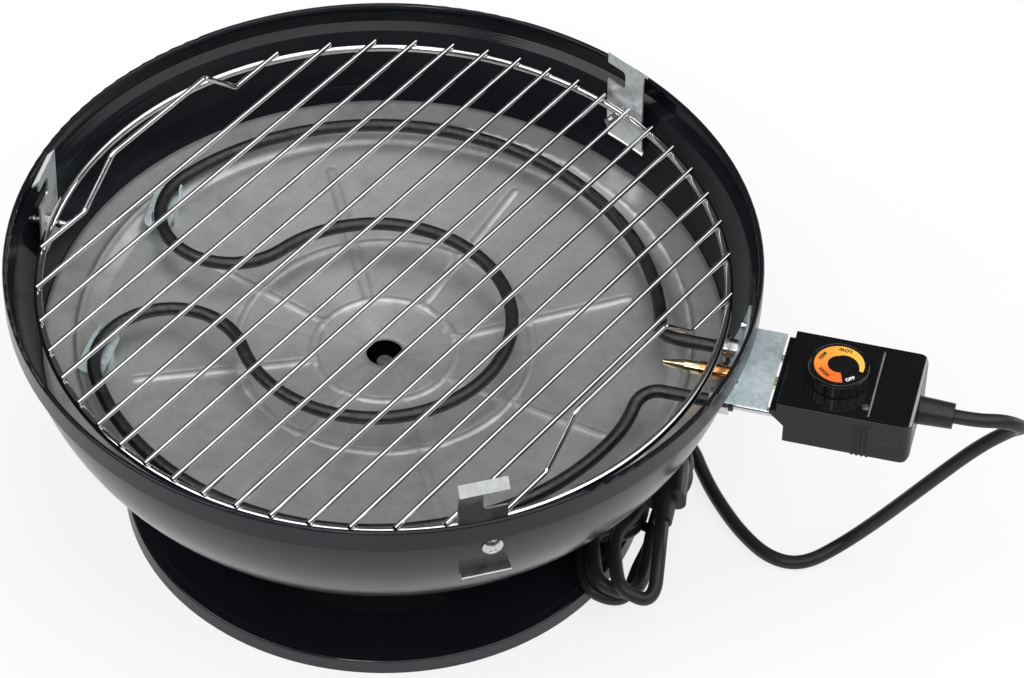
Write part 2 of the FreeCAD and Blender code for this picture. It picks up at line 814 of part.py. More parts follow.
def bracket_face(height):
    """Distance from the axis to the inner face of a bracket's leg at a height."""
    low = rim_height - bracket_low_depth + bracket_sheet
    elbow = rim_height - bracket_elbow_depth
    return bracket_foot() + (bracket_inner - bracket_foot()) * (height - low) / (elbow - low)


def make_bracket():
    """Strap that carries the grid: tab through the wall, elbow, notch and turned-out lip."""
    sheet = bracket_sheet
    low = rim_height - bracket_low_depth
    elbow = rim_height - bracket_elbow_depth
    top = rim_height + bracket_rise
    tab_end = wall_radius(low) + bracket_tab
    foot = bracket_foot()
    head = bracket_inner - bracket_lean
    slope = math.radians(bracket_lip_angle)
    out = bracket_lip * math.cos(slope)
    down = bracket_lip * math.sin(slope)
    fold = sheet * (1 + math.sin(slope)) / math.cos(slope)
    face = Part.Face(outline((tab_end, low), [
        (foot, low),
        (foot, low + sheet),
        (bracket_inner, elbow),
        (head, top),
        (head + out, top - down),
        (head + out - sheet * math.sin(slope), top - down - sheet * math.cos(slope)),
        (head + sheet, top - fold),
        (bracket_inner + sheet, elbow),
        (foot + sheet, low + 2 * sheet),
        (foot + sheet, low + sheet),
        (tab_end, low + sheet),
    ]))
    half = bracket_width / 2
    strap = face.extrude(ALONG_Y * bracket_width)
    strap.translate(Vector(0, -half, 0))
    notch_low = rim_height - notch_low_depth
    notch = box(Vector(bracket_inner - far_cut / 2, half - notch_reach, notch_low),
                Vector(bracket_inner + far_cut / 2, half + part_gap, notch_low + notch_height))
    through = [edge for edge in notch.Edges if edge.Length > far_cut / 2]
    inner_end = [edge for edge in through if edge.CenterOfMass.y < half - part_gap]
    notch = notch.makeFillet(notch_corner, inner_end)
    hole = rod(Vector(screw_inner, screw_offset, screw_height), ALONG_X, screw_radius + hole_gap, far_cut)
    return strap.cut([notch, hole])


def make_bracket_screw():
    """Long screw through wall and bracket; its inner end is a rest for the grid."""
    outer = wall_radius(screw_height + screw_head) + seat_gap
    shank = rod(Vector(screw_inner, screw_offset, screw_height), ALONG_X, screw_radius, outer - screw_inner)
    top = outer + screw_head_height
    dome = Part.makeSphere(screw_dome, Vector(top - screw_dome, screw_offset, screw_height))
    head = rod(Vector(outer, screw_offset, screw_height), ALONG_X, screw_head, screw_head_height).common(dome)
    floor = Vector(top - screw_recess_depth, screw_offset, screw_height)
    reach = Vector(screw_recess_depth, screw_recess_length / 2, screw_recess_width / 2)
    level = box(floor - Vector(0, reach.y, reach.z), floor + reach)
    upright = level.copy()
    upright.rotate(floor, ALONG_X, 90)
    return shank.fuse(head.cut(level.fuse(upright))).removeSplitter()


def make_bracket_nut():
    """Thin nut on the inner face of the bracket."""
    corner = screw_nut_width / math.sqrt(3)
    seat = min(bracket_face(screw_height - corner), bracket_face(screw_height + corner))
    centre = Vector(seat - seat_gap - screw_nut_height, screw_offset, screw_height)
    nut = hexagon(centre, ALONG_X, screw_nut_width, screw_nut_height)
    return nut.cut(rod(centre - ALONG_X, ALONG_X, screw_radius + running_gap, far_cut / 2))


def bar_offset(index):
    """Sideways place of a bar of the grid."""
    return (index - (bar_count - 1) / 2) * bar_pitch


def bar_half_length(offset):
    """Half the length of a bar that crosses the ring."""
    return math.sqrt(ring_radius ** 2 - offset ** 2) + bar_overhang


def laid(shape):
    """A piece of the grid, turned from the X direction to the direction of its bars."""
    return turned(shape, bar_angle)


def make_ring():
    """Round wire that the bars are welded to."""
    return Part.makeTorus(ring_radius, ring_wire, Vector(0, 0, ring_height), UP)


def make_bars():
    """Straight bars of the grid, as separate solids."""
    bars = []
    for index in range(1, bar_count - 1):
        offset = bar_offset(index)
        half = bar_half_length(offset)
        bar = rod(Vector(-half, offset, bar_height), ALONG_X, grid_wire, 2 * half)
        bars.append(laid(bar))
    return Part.makeCompound(bars)


def make_handle(index):
    """Outermost bar, bent up in its middle as a lifting handle."""
    offset = bar_offset(index)
    half = bar_half_length(offset)
    raised = bar_height + handle_rise
    places = ((-half, bar_height), (-handle_foot / 2, bar_height), (-handle_top / 2, raised),
              (handle_top / 2, raised), (handle_foot / 2, bar_height), (half, bar_height))
    points = [Vector(place, offset, height) for place, height in places]
    return laid(tube(rounded_path(points, [handle_bend] * (len(points) - 2)), grid_wire))


def rest_placement():
    """Place of the rear rest: under the lobe, with X away from the lobe's centre."""
    outward = polar(1.0, rest_angle)
    place = lobe_centre() + outward * element_lobe
    return FreeCAD.Placement(place, FreeCAD.Rotation(ALONG_X, outward))


def rest_leg(reach):
    """Leg of a rest at a distance from the element's centre line, down to the reflector."""
    placement = rest_placement()
    low = []
    for across in (reach - rest_sheet / 2, reach + rest_sheet / 2):
        for along in (-rest_leg_width / 2, rest_leg_width / 2):
            corner = placement.multVec(Vector(across, along, 0))
            low.append(reflector_top(math.hypot(corner.x, corner.y)))
    foot = max(low) + seat_gap - element_height
    return box(Vector(reach - rest_sheet / 2, -rest_leg_width / 2, foot),
               Vector(reach + rest_sheet / 2, rest_leg_width / 2, rest_top()))


def rest_top():
    """Upper face of a rest, below the element's centre line."""
    return -element_radius - seat_gap


def rest_ear(along, side):
    """Ear that stands up beside the curved element, inside or outside it."""
    bend = math.sqrt(element_lobe ** 2 - along ** 2) - element_lobe
    slack = rest_ear_width * abs(along) / element_lobe
    face = bend + side * (element_radius + slack + rest_sheet / 2)
    return box(Vector(face - rest_sheet / 2, along - rest_ear_width / 2, rest_top() - rest_sheet / 2),
               Vector(face + rest_sheet / 2, along + rest_ear_width / 2, rest_top() + rest_ear_height))


def make_rest():
    """Rear rest of the element: a round-cornered plate on two legs, with an ear at each end."""
    half = Vector(rest_width / 2, rest_length / 2, 0)
    low = rest_top() - rest_sheet
    plate = box(Vector(-half.x, -half.y, low), Vector(half.x, half.y, rest_top()))
    upright = [edge for edge in plate.Edges if abs(edge.tangentAt(edge.FirstParameter).z) > 0.5]
    plate = plate.makeFillet(rest_corner, upright)
    reach = half.x - rest_sheet / 2
    pieces = [rest_leg(-reach), rest_leg(reach), rest_ear(-rest_ear_place, -1), rest_ear(rest_ear_place, 1)]
    rest = plate.fuse(pieces).removeSplitter()
    rest.Placement = rest_placement().multiply(rest.Placement)
    return rest


def housing_block(inset):
    """Outer form of the thermostat's housing, or the space inside it when moved in."""
    front = housing_front + inset
    end = housing_end - inset
    low = housing_low + inset
    high = housing_top_height - inset
    wedge_low = parting_height + inset
    nose = housing_front - shroud_reach + inset
    nose_high = housing_top_height - shroud_lip_height - inset
    lip = housing_front - shroud_lip + inset
    edge = max(housing_edge - inset, housing_inner_edge)
    side = Part.Face(outline((front, low), [
        (front, wedge_low),
        (nose, nose_high - shroud_edge),
        (nose, nose_high),
        (lip, nose_high),
        (lip, high),
        (end - edge, high),
        (end, high - edge),
        (end, low + edge),
        (end - edge, low),
    ]))
    half = housing_width / 2 - inset
    block = side.extrude(ALONG_Y * (2 * half))
    block.translate(Vector(0, -half, 0))
    corner = max(housing_corner - inset, housing_inner_corner)
    plan = box(Vector(nose - far_cut, -half, low), Vector(end - corner, half, high))
    middle = box(Vector(end - 2 * corner, -half + corner, low), Vector(end, half - corner, high))
    posts = []
    for across in (-1, 1):
        centre = Vector(end - corner, across * (half - corner), low)
        posts.append(rod(centre, UP, corner, high - low))
    return block.common(plan.fuse([middle] + posts).removeSplitter())


def grip_rib_boxes():
    """Upright ribs on both sides of the housing, for the fingers."""
    half = housing_width / 2
    boxes = []
    for index in range(grip_ribs):
        place = housing_front + grip_rib_place + (index - (grip_ribs - 1) / 2) * grip_rib_pitch
        for side in (-1, 1):
            face = side * half
            tip = face + side * grip_rib_height
            boxes.append(box(Vector(place - grip_rib_width / 2, min(face - side, tip), housing_low),
                             Vector(place + grip_rib_width / 2, max(face - side, tip),
                                    housing_top_height - grip_rib_drop)))
    return boxes


def shell_screw_places():
    """Axes of the housing's four screws, in plan."""
    across = housing_width / 2 - shell_screw_inset
    front = housing_front + socket_length + shell_boss + part_gap
    end = housing_end - shell_screw_inset - shroud_edge
    return [(place, side * across) for place in (front, end) for side in (-1, 1)]


def housing_shell():
    """Whole hollow housing with its ribs, bosses and holes, before it is parted."""
    space = housing_block(housing_wall)
    end_wall = box(Vector(housing_end - end_block, -housing_width, housing_low),
                   Vector(housing_end, housing_width, housing_top_height))
    space = space.cut(end_wall)
    space = space.cut([rod(Vector(x, y, housing_low), UP, shell_boss, housing_height)
                       for x, y in shell_screw_places()])
    shell = housing_block(0.0).fuse(grip_rib_boxes()).removeSplitter().cut(space)
    cuts = []
    mouth = housing_front - 2 * shroud_reach
    depth = 2 * (shroud_reach + housing_wall)
    for side in (-1, 1):
        start = Vector(mouth, side * leg_spacing / 2, leg_height)
        cuts.append(rod(start, ALONG_X, socket_radius + seat_gap / 2, depth))
    cuts.append(rod(Vector(mouth, 0, pin_height), ALONG_X, probe_radius + seat_gap / 2, depth))
    cuts.append(rod(Vector(housing_end - 2 * end_block, 0, pin_height), ALONG_X, relief_neck + seat_gap / 2,
                    3 * end_block))
    for x, y in shell_screw_places():
        cuts.append(rod(Vector(x, y, housing_low), UP, shell_screw_radius + running_gap,
                        shell_screw_length + seat_gap))
        cuts.append(rod(Vector(x, y, housing_low), UP, shell_screw_head + hole_gap, shell_screw_head_height))
    knob_axis = Vector(housing_front + knob_place, 0, housing_top_height - far_cut / 4)
    cuts.append(rod(knob_axis, UP, shaft_radius + running_gap, far_cut))
    lens = Vector(housing_front + lens_place[0], lens_place[1], housing_top_height - housing_wall - 1)
    cuts.append(rod(lens, UP, lens_radius + seat_gap / 2, far_cut))
    across = housing_width / 2 - groove_inset
    groove = housing_front + groove_place
    cuts.append(box(Vector(groove - groove_width / 2, -across, housing_top_height - groove_depth),
                    Vector(groove + groove_width / 2, across, housing_top_height + groove_depth)))
    return shell.cut(cuts)


def parted(shell, upper):
    """One half of the housing, above or below the parting plane."""
    low = parting_height + seat_gap if upper else housing_low - far_cut
    high = housing_top_height + far_cut if upper else parting_height
    reach = housing_width
    half = box(Vector(housing_front - far_cut, -reach, low), Vector(housing_end + far_cut, reach, high))
    return shell.common(half)


def make_shell_screws():
    """Screws that close the housing from below."""
    screws = []
    for x, y in shell_screw_places():
        low = Vector(x, y, housing_low + seat_gap)
        head = rod(low, UP, shell_screw_head, shell_screw_head_height - seat_gap)
        shank = rod(Vector(x, y, housing_low + shell_screw_head_height), UP, shell_screw_radius,
                    shell_screw_length - shell_screw_head_height)
        screws.append(head.fuse(shank).removeSplitter())
    return Part.makeCompound(screws)


def make_sockets():
    """Contact sleeves behind the housing's front, one for each pin."""
    sockets = []
    for side in (-1, 1):
        start = Vector(housing_front + seat_gap, side * leg_spacing / 2, leg_height)
        sleeve = rod(start, ALONG_X, socket_radius, socket_length)
        sockets.append(sleeve.cut(rod(start, ALONG_X, pin_radius + socket_gap, socket_length - housing_wall)))
    return Part.makeCompound(sockets)


def make_switch():
    """Thermostat switch on the housing's floor, under the knob."""
    length, width, height = switch_size
    centre = housing_front + knob_place
    low = housing_low + housing_wall + seat_gap
    start = housing_front + knob_place - switch_lead
    body = box(Vector(start, -width / 2, low), Vector(start + length, width / 2, low + height))
    boss_top = shaft_low() - seat_gap
    return body.fuse(rod(Vector(centre, 0, low), UP, boss_radius, boss_top - low)).removeSplitter()


def shaft_low():
    """Lower end of the knob's shaft."""
    return housing_top_height + knob_height - 2 * dial_thickness - shaft_length


def make_lens():
    """Small domed pilot lens in the housing's top."""
    x, y = housing_front + lens_place[0], lens_place[1]
    low = housing_top_height + lens_dome - lens_height
    body = rod(Vector(x, y, low), UP, lens_radius, lens_height)
    round_radius = (lens_radius ** 2 + lens_dome ** 2) / (2 * lens_dome)
    dome = Part.makeSphere(round_radius, Vector(x, y, housing_top_height + lens_dome - round_radius))
    return body.common(dome)


def make_probe():
    """Brass temperature probe with a tapered nose."""
    start = probe_tip + probe_taper
    tip = Vector(probe_tip, 0, pin_height)
    nose = Part.makeCone(probe_tip_radius, probe_radius, probe_taper, tip, ALONG_X)
    stem = rod(Vector(start, 0, pin_height), ALONG_X, probe_radius, housing_front + probe_tail - start)
    return nose.fuse(stem).removeSplitter()


def make_collar():
    """Copper sleeve on the probe, where it passes the wall."""
    start = Vector(collar_start, 0, pin_height)
    sleeve = rod(start, ALONG_X, collar_radius, collar_length)
    return sleeve.cut(rod(start, ALONG_X, probe_radius + running_gap, collar_length))


def make_knob():
    """Fluted knob with a sunk top for the dial."""
    low = housing_top_height + part_gap
    top = housing_top_height + knob_height
    centre = Vector(housing_front + knob_place, 0, 0)
    step = low + knob_flute_height
    body = rod(centre + UP * low, UP, knob_radius, knob_flute_height)
    crown = Part.makeCone(knob_radius, knob_top_radius, top - step, centre + UP * step, UP)
    body = body.fuse(crown).removeSplitter()
    cuts = [rod(centre + UP * (top - dial_thickness), UP, dial_radius + seat_gap, far_cut)]
    for index in range(knob_flutes):
        flute = polar(knob_radius + knob_flute_radius / 2, 360 * index / knob_flutes)
        cuts.append(rod(centre + flute + UP * (low - part_gap), UP, knob_flute_radius, knob_flute_height))
    cuts.append(rod(centre + UP * (low - part_gap), UP, shaft_radius + running_gap,
                    top - 2 * dial_thickness - low + part_gap))
    return body.cut(cuts)


def make_dial():
    """Thin printed disc in the top of the knob."""
    low = housing_top_height + knob_height - dial_thickness
    return rod(Vector(housing_front + knob_place, 0, low), UP, dial_radius, dial_thickness)


def make_shaft():
    """Shaft from the knob down to the switch."""
    return rod(Vector(housing_front + knob_place, 0, shaft_low()), UP, shaft_radius, shaft_length - seat_gap)


def make_relief():
    """Tapered strain relief, held in the end of the housing by a neck and a flange."""
    root = Vector(housing_end, 0, pin_height)
    inside = housing_end - end_block - seat_gap
    seat = root + ALONG_X * seat_gap
    sleeve = Part.makeCone(relief_root, relief_tip, relief_length - seat_gap, seat, ALONG_X)
    neck = rod(Vector(inside, 0, pin_height), ALONG_X, relief_neck, end_block + 2 * seat_gap)
    flange = rod(Vector(inside - relief_flange_thickness, 0, pin_height), ALONG_X, relief_flange,
                 relief_flange_thickness)
    return sleeve.fuse([neck, flange]).removeSplitter()


def cord_path():
    """Free stretch of the cord: each arc is as large as its two runs allow."""
    radii = []
    for before, corner, after in zip(cord_route, cord_route[1:], cord_route[2:]):
        inward = corner - before
        outward = after - corner
        turn = inward.getAngle(outward)
        radii.append(cord_run_share * min(inward.Length, outward.Length) / math.tan(turn / 2))
    print("cord radii", [round(radius) for radius in radii])
    return rounded_path(cord_route, radii)


def hank_point(along, across, layer, fan):
    """Point of the hank: along its runs, across them, and up by layers."""
    lean = hank_tilt * (hank_lobe - across)
    return hank_centre + Vector(across - fan, along, lean + layer * hank_layer)


def hank_path():
    """Loops of the hank as one line of arcs, from the free cord to the plug's sleeve."""
    start = cord_route[-1]
    heading = (start - cord_route[-2]).normalize()
    straight = 2 * cord_radius
    here = start + heading * straight
    edges = [Part.LineSegment(start, here).toShape()]
    down = Vector(-1, 0, hank_tilt).normalize()
    splayed = Vector(hank_splay, -hank_slant, 0).normalize()
    for turn, (front, fan) in enumerate(zip(hank_fronts, hank_fans)):
        back = hank_first_back if turn == 0 else hank_back
        lobe = hank_first_lobe if turn == 0 else hank_lobe
        shoulder = hank_lobe - front
        stops = [
            (hank_point(back, 0, turn, 0), down),
            (hank_point(back - lobe, -lobe, turn, 0), ALONG_Y * -1),
            (hank_point(0, -hank_waist, turn, 0), ALONG_Y * -1),
            (hank_point(shoulder + hank_slant, -hank_lobe - hank_splay, turn, fan), splayed),
            (hank_point(-front, 0, turn, fan), down * -1),
        ]
        if turn < len(hank_fronts) - 1:
            stops += [
                (hank_point(shoulder, hank_lobe, turn, fan), ALONG_Y),
                (hank_point(0, hank_waist, turn, 0), ALONG_Y),
                (hank_point(hank_back - hank_lobe, hank_lobe, turn + 1, 0), ALONG_Y),
            ]
        for there, next_heading in stops:
            edges += biarc(here, heading, there, next_heading)
            here, heading = there, next_heading
    end_heading = plug_axis()
    before_end = plug_sleeve_entry - end_heading * straight
    edges += biarc(here, heading, before_end, end_heading)
    edges.append(Part.LineSegment(before_end, plug_sleeve_entry).toShape())
    return edges


def plug_axis():
    """Direction of the plug, from its sleeve to its blades."""
    return Vector(plug_heading).normalize()


def least_gap(edges, radius):
    """Least gap of a tube to itself, on points along its centre line."""
    step = radius / 2
    points = []
    travelled = []
    total = 0.0
    for edge in edges:
        count = max(2, int(edge.Length / step))
        span = edge.LastParameter - edge.FirstParameter
        for index in range(count):
            points.append(edge.valueAt(edge.FirstParameter + span * index / count))
            travelled.append(total + edge.Length * index / count)
        total += edge.Length
    apart = 6 * radius
    pairs = []
    for first in range(len(points)):
        for second in range(first + 1, len(points)):
            if travelled[second] - travelled[first] > apart:
                pairs.append(points[first].distanceToPoint(points[second]))
    return min(pairs) - 2 * radius


def make_tie():
    """Strap round the waist of the hank."""
    half = hank_waist + cord_radius + part_gap
    rise = hank_tilt * half
    low = -cord_radius - part_gap
    high = (len(hank_fronts) - 1) * hank_layer + cord_radius + part_gap
    base = hank_point(0, 0, 0, 0)
    corners = [(-half, low + rise), (half, low - rise), (half, high - rise), (-half, high + rise)]
    inner = [base + Vector(x, 0, z) for x, z in corners]
    middle = base + Vector(0, 0, (low + high) / 2)
    grow = 1 + tie_thickness / half
    tall = 1 + 2 * tie_thickness / (high - low)
    outer = [middle + Vector((p.x - middle.x) * grow, 0, (p.z - middle.z) * tall) for p in inner]
    ring = Part.Face(Part.makePolygon(outer + outer[:1])).cut(Part.Face(Part.makePolygon(inner + inner[:1])))
    strap = ring.extrude(ALONG_Y * tie_width)
    strap.translate(ALONG_Y * (-tie_width / 2))
    return strap


def placed_on_plug(shape):
    """A piece drawn along +X from the sleeve's entry, moved to where the plug lies."""
    turn = FreeCAD.Rotation(ALONG_X, plug_axis())
    moved = shape.copy()
    moved.Placement = FreeCAD.Placement(plug_sleeve_entry, turn).multiply(moved.Placement)
    return moved


def make_plug():
    """Moulded plug: tapered sleeve and a rounded body."""
    sleeve = Part.makeCone(sleeve_tip, sleeve_root, sleeve_length, ORIGIN, ALONG_X)
    half = Vector(0, plug_width / 2 - plug_corner, plug_thickness / 2 - plug_corner)
    posts = []
    for across in (-1, 1):
        for up in (-1, 1):
            centre = Vector(sleeve_length, across * half.y, up * half.z)
            posts.append(rod(centre, ALONG_X, plug_corner, plug_length))
    flat = box(Vector(sleeve_length, -plug_width / 2, -half.z),
               Vector(sleeve_length + plug_length, plug_width / 2, half.z))
    tall = box(Vector(sleeve_length, -half.y, -plug_thickness / 2),
               Vector(sleeve_length + plug_length, half.y, plug_thickness / 2))
    return placed_on_plug(flat.fuse([tall, sleeve] + posts).removeSplitter())


def make_blades():
    """Two flat blades and a round earth pin on the plug's face."""
    start = sleeve_length + plug_length
    pieces = []
    for side in (-1, 1):
        middle = side * blade_spacing / 2
        pieces.append(box(Vector(start, middle - blade_thickness / 2, 0),
                          Vector(start + blade_length, middle + blade_thickness / 2, blade_width)))
    pieces.append(rod(Vector(start, 0, -earth_drop), ALONG_X, earth_radius, blade_length))
    return placed_on_plug(Part.makeCompound(pieces))


def report_tube(name, edges, shape, radius):
    """Print a tube's length and compare its volume with its section times its length."""
    length = path_length(edges)
    share = shape.Volume / (math.pi * radius ** 2 * length)
    print(name, "length", round(length, 1), "volume share", round(share, 4))


def build():
    """Make every piece and write it to its file."""
    shell = housing_shell()
    rest = make_rest()
    element_edges = element_path()
    cord_edges = cord_path()
    hank_edges = hank_path()
    pieces = {
        "base_plate": make_base(),
        "pedestal": make_pedestal(),
        "tie_bolt": make_tie_bolt(),
        "tie_nut": make_tie_nut(),
        "bowl": make_bowl(),
        "reflector": make_reflector(),
        "heating_element": tube(element_edges, element_radius),
        "terminal_pins": make_terminal_pins(),
        "terminal_bushings": make_bushings(),
        "terminal_plate": make_terminal_plate(),
        "terminal_guard": make_guard(),
        "guard_rivets": make_guard_rivets(),
        "element_rest_rear": rest,
        "element_rest_front": mirrored(rest),
        "grid_ring": make_ring(),
        "grid_bars": make_bars(),
        "grid_handle_front": make_handle(0),
        "grid_handle_rear": make_handle(bar_count - 1),
        "housing_top": parted(shell, True),
        "housing_bottom": parted(shell, False),
        "housing_screws": make_shell_screws(),
        "socket_contacts": make_sockets(),
        "thermostat_switch": make_switch(),
        "pilot_lens": make_lens(),
        "probe": make_probe(),
        "probe_collar": make_collar(),
        "knob": make_knob(),
        "knob_dial": make_dial(),
        "knob_shaft": make_shaft(),
        "strain_relief": make_relief(),
        "power_cord": tube(cord_edges, cord_radius),
        "cord_hank": tube(hank_edges, cord_radius),
        "cord_tie": make_tie(),
        "plug_body": make_plug(),
        "plug_blades": make_blades(),
    }
    for index, angle in enumerate(bracket_angles):
        pieces["grid_bracket_%d" % (index + 1)] = turned(make_bracket(), angle)
    for name, piece in (("bracket_screws", make_bracket_screw()), ("bracket_nuts", make_bracket_nut())):
        pieces[name] = Part.makeCompound([turned(piece, angle) for angle in bracket_angles])
    report_tube("element", element_edges, pieces["heating_element"], element_radius)
    report_tube("cord", cord_edges, pieces["power_cord"], cord_radius)
    report_tube("hank", hank_edges, pieces["cord_hank"], cord_radius)
    print("hank least gap to itself", round(least_gap(hank_edges, cord_radius), 2))
    os.makedirs("parts", exist_ok=True)
    for name, shape in pieces.items():
        shape.exportStep("parts/%s.step" % name)
        print(name, len(shape.Solids), round(shape.Volume), shape.isValid())


build()
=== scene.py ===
"""Looks of a tabletop electric grill: enamelled bowl on a gloss base, plated wire grid, looped element over a
bright pan, and a plug-in thermostat with a printed dial and a bundled lead.  Metres, +Z up."""

import logging
import math
from dataclasses import dataclass
from enum import Enum
from typing import Callable, Iterable, Sequence

import bpy
from mathutils import Matrix, Vector


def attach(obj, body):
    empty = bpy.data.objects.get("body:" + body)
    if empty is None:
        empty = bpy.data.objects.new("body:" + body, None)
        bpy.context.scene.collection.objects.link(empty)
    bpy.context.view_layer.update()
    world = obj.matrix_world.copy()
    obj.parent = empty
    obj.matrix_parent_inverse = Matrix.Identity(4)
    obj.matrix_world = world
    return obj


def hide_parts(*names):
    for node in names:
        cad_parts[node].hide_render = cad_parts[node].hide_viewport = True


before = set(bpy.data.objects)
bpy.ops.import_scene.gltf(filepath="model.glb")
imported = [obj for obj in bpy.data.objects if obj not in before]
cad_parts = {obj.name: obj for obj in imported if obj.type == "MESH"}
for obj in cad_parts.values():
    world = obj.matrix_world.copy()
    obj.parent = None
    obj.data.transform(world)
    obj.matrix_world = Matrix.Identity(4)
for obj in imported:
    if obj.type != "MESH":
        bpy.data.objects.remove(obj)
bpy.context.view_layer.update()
LOG = logging.getLogger("grill")

Colour = tuple[float, float, float]
Place = tuple[float, float, float]

# Values between which nearly all of a noise texture lies
NOISE_LOW = 0.3
NOISE_MIDDLE = 0.5
NOISE_HIGH = 0.7

# Largest upward part of the normal of a face that counts as upright
UPRIGHT_LIMIT = 0.5

EDGE_SAMPLES = 8


class Grain(Enum):
    """Surface texture of a sheet or wire."""

    SPUN = "spun"
    SPANGLED = "spangled"
    ROLLED = "rolled"
    PLATED = "plated"


class NodeSheet:
    """Node tree of one material round its Principled shader."""

    def __init__(self, name: str) -> None:
        """Start a material.

        Args:
            name: Name of the material.
        """
        self.material = bpy.data.materials.new(name)
        self.material.use_nodes = True
        self.tree = self.material.node_tree
        self.shader = self.tree.nodes["Principled BSDF"]
        self.coordinates = self.add("ShaderNodeTexCoord").outputs["Object"]

    def add(self, kind: str, **settings: object) -> bpy.types.Node:
        """Add a node.

        Args:
            kind: Blender's type name of the node.
            settings: Properties set on the node.

        Returns:
            The new node.
        """
        node = self.tree.nodes.new(kind)
        for key, value in settings.items():
            setattr(node, key, value)
        return node

    def link(self, source: bpy.types.NodeSocket, target: bpy.types.NodeSocket) -> None:
        """Join an output to an input."""
        self.tree.links.new(source, target)

    def fix(self, **values: object) -> None:
        """Set constants on the shader.

        Args:
            values: Socket names, with underscores for spaces, and their values.
        """
        for key, value in values.items():
            self.shader.inputs[key.replace("_", " ")].default_value = value

    def drive(self, socket: str, source: bpy.types.NodeSocket) -> None:
        """Let a texture drive one of the shader's sockets."""
        self.link(source, self.shader.inputs[socket])

    def noise(self, scale: float, detail: float = 3.0, rough: float = 0.5,
              where: bpy.types.NodeSocket | None = None) -> bpy.types.NodeSocket:
        """Add a noise texture.

        Args:
            scale: Features per metre.
            detail: Octaves.
            rough: Weight of the finer octaves.
            where: Coordinates, or None for the object's own.

        Returns:
            The noise's value.
        """
        node = self.add("ShaderNodeTexNoise")
        node.inputs["Scale"].default_value = scale
        node.inputs["Detail"].default_value = detail
        node.inputs["Roughness"].default_value = rough
        self.link(where or self.coordinates, node.inputs["Vector"])
        return node.outputs["Fac"]

    def cells(self, scale: float) -> bpy.types.NodeSocket:
        """Add a cell pattern and return one random shade for each cell.

        Args:
            scale: Cells per metre.

        Returns:
            A colour that differs from cell to cell.
        """
        node = self.add("ShaderNodeTexVoronoi")
        node.inputs["Scale"].default_value = scale
        self.link(self.coordinates, node.inputs["Vector"])
        return node.outputs["Color"]

    def ramp(self, source: bpy.types.NodeSocket,
             stops: Sequence[tuple[float, Colour]]) -> bpy.types.NodeSocket:
        """Map a value to colours.

        Args:
            source: Value from 0 to 1.
            stops: Positions with their colours.

        Returns:
            The colour.
        """
        node = self.add("ShaderNodeValToRGB")
        band = node.color_ramp
        while len(band.elements) < len(stops):
            band.elements.new(0.5)
        for element, (place, colour) in zip(band.elements, stops):
            element.position = place
            element.color = (*colour, 1.0)
        self.link(source, node.inputs["Fac"])
        return node.outputs["Color"]

    def spread(self, source: bpy.types.NodeSocket, low: float, high: float,
               start: float = NOISE_LOW, end: float = NOISE_HIGH) -> bpy.types.NodeSocket:
        """Map a texture's value to a range.

        Args:
            source: Value of the texture.
            low: Result at the start.
            high: Result at the end.
            start: Value that gives the low result.
            end: Value that gives the high result.

        Returns:
            The mapped value.
        """
        node = self.add("ShaderNodeMapRange")
        for key, value in (("From Min", start), ("From Max", end), ("To Min", low), ("To Max", high)):
            node.inputs[key].default_value = value
        self.link(source, node.inputs["Value"])
        return node.outputs["Result"]

    def math(self, operation: str, first: bpy.types.NodeSocket,
             second: bpy.types.NodeSocket | float = 0.0) -> bpy.types.NodeSocket:
        """Combine two values.

        Args:
            operation: Blender's name of the operation.
            first: First value.
            second: Second value, a socket or a number.

        Returns:
            The result.
        """
        node = self.add("ShaderNodeMath", operation=operation)
        self.link(first, node.inputs[0])
        if isinstance(second, (int, float)):
            node.inputs[1].default_value = second
        else:
            self.link(second, node.inputs[1])
        return node.outputs[0]

    def turned_coordinates(self, around: float, along: float) -> bpy.types.NodeSocket:
        """Coordinates that follow a body turned about the Z axis.

        Args:
            around: Features per turn.
            along: Features per metre of radius and of height.

        Returns:
            A vector of angle, radius and height.
        """
        split = self.add("ShaderNodeSeparateXYZ")
        self.link(self.coordinates, split.inputs[0])
        angle = self.math("ARCTAN2", split.outputs["Y"], split.outputs["X"])
        angle = self.math("MULTIPLY", angle, around / (2 * math.pi))
        radius = self.math("SQRT", self.math("ADD", self.math("POWER", split.outputs["X"], 2.0),
                                             self.math("POWER", split.outputs["Y"], 2.0)))
        merged = self.add("ShaderNodeCombineXYZ")
        self.link(angle, merged.inputs["X"])
        self.link(self.math("MULTIPLY", radius, along), merged.inputs["Y"])
        self.link(self.math("MULTIPLY", split.outputs["Z"], along), merged.inputs["Z"])
        return merged.outputs[0]

    def tint(self, source: bpy.types.NodeSocket, colour: Colour, low: float, high: float) -> None:
        """Vary the base colour with a texture.

        Args:
            source: Value of the texture.
            colour: The middle colour.
            low: Factor of the darker end.
            high: Factor of the lighter end.
        """
        dark = (NOISE_LOW, shade(colour, low))
        light = (NOISE_HIGH, shade(colour, high))
        stops = (dark, (NOISE_MIDDLE, colour), light)
        self.drive("Base Color", self.ramp(source, stops))

    def bump(self, height: bpy.types.NodeSocket, strength: float, depth: float,
             rounding: float = 0.0) -> None:
        """Add relief to the shader.

        Args:
            height: Texture of the relief.
            strength: How strongly it shows.
            depth: Height of the relief in metres.
            rounding: Radius that the edges seem to have, in metres, or 0 for sharp edges.
        """
        node = self.add("ShaderNodeBump")
        if rounding:
            edge = self.add("ShaderNodeBevel", samples=EDGE_SAMPLES)
            edge.inputs["Radius"].default_value = rounding
            self.link(edge.outputs["Normal"], node.inputs["Normal"])
        node.inputs["Strength"].default_value = strength
        node.inputs["Distance"].default_value = depth
        self.link(height, node.inputs["Height"])
        self.drive("Normal", node.outputs["Normal"])


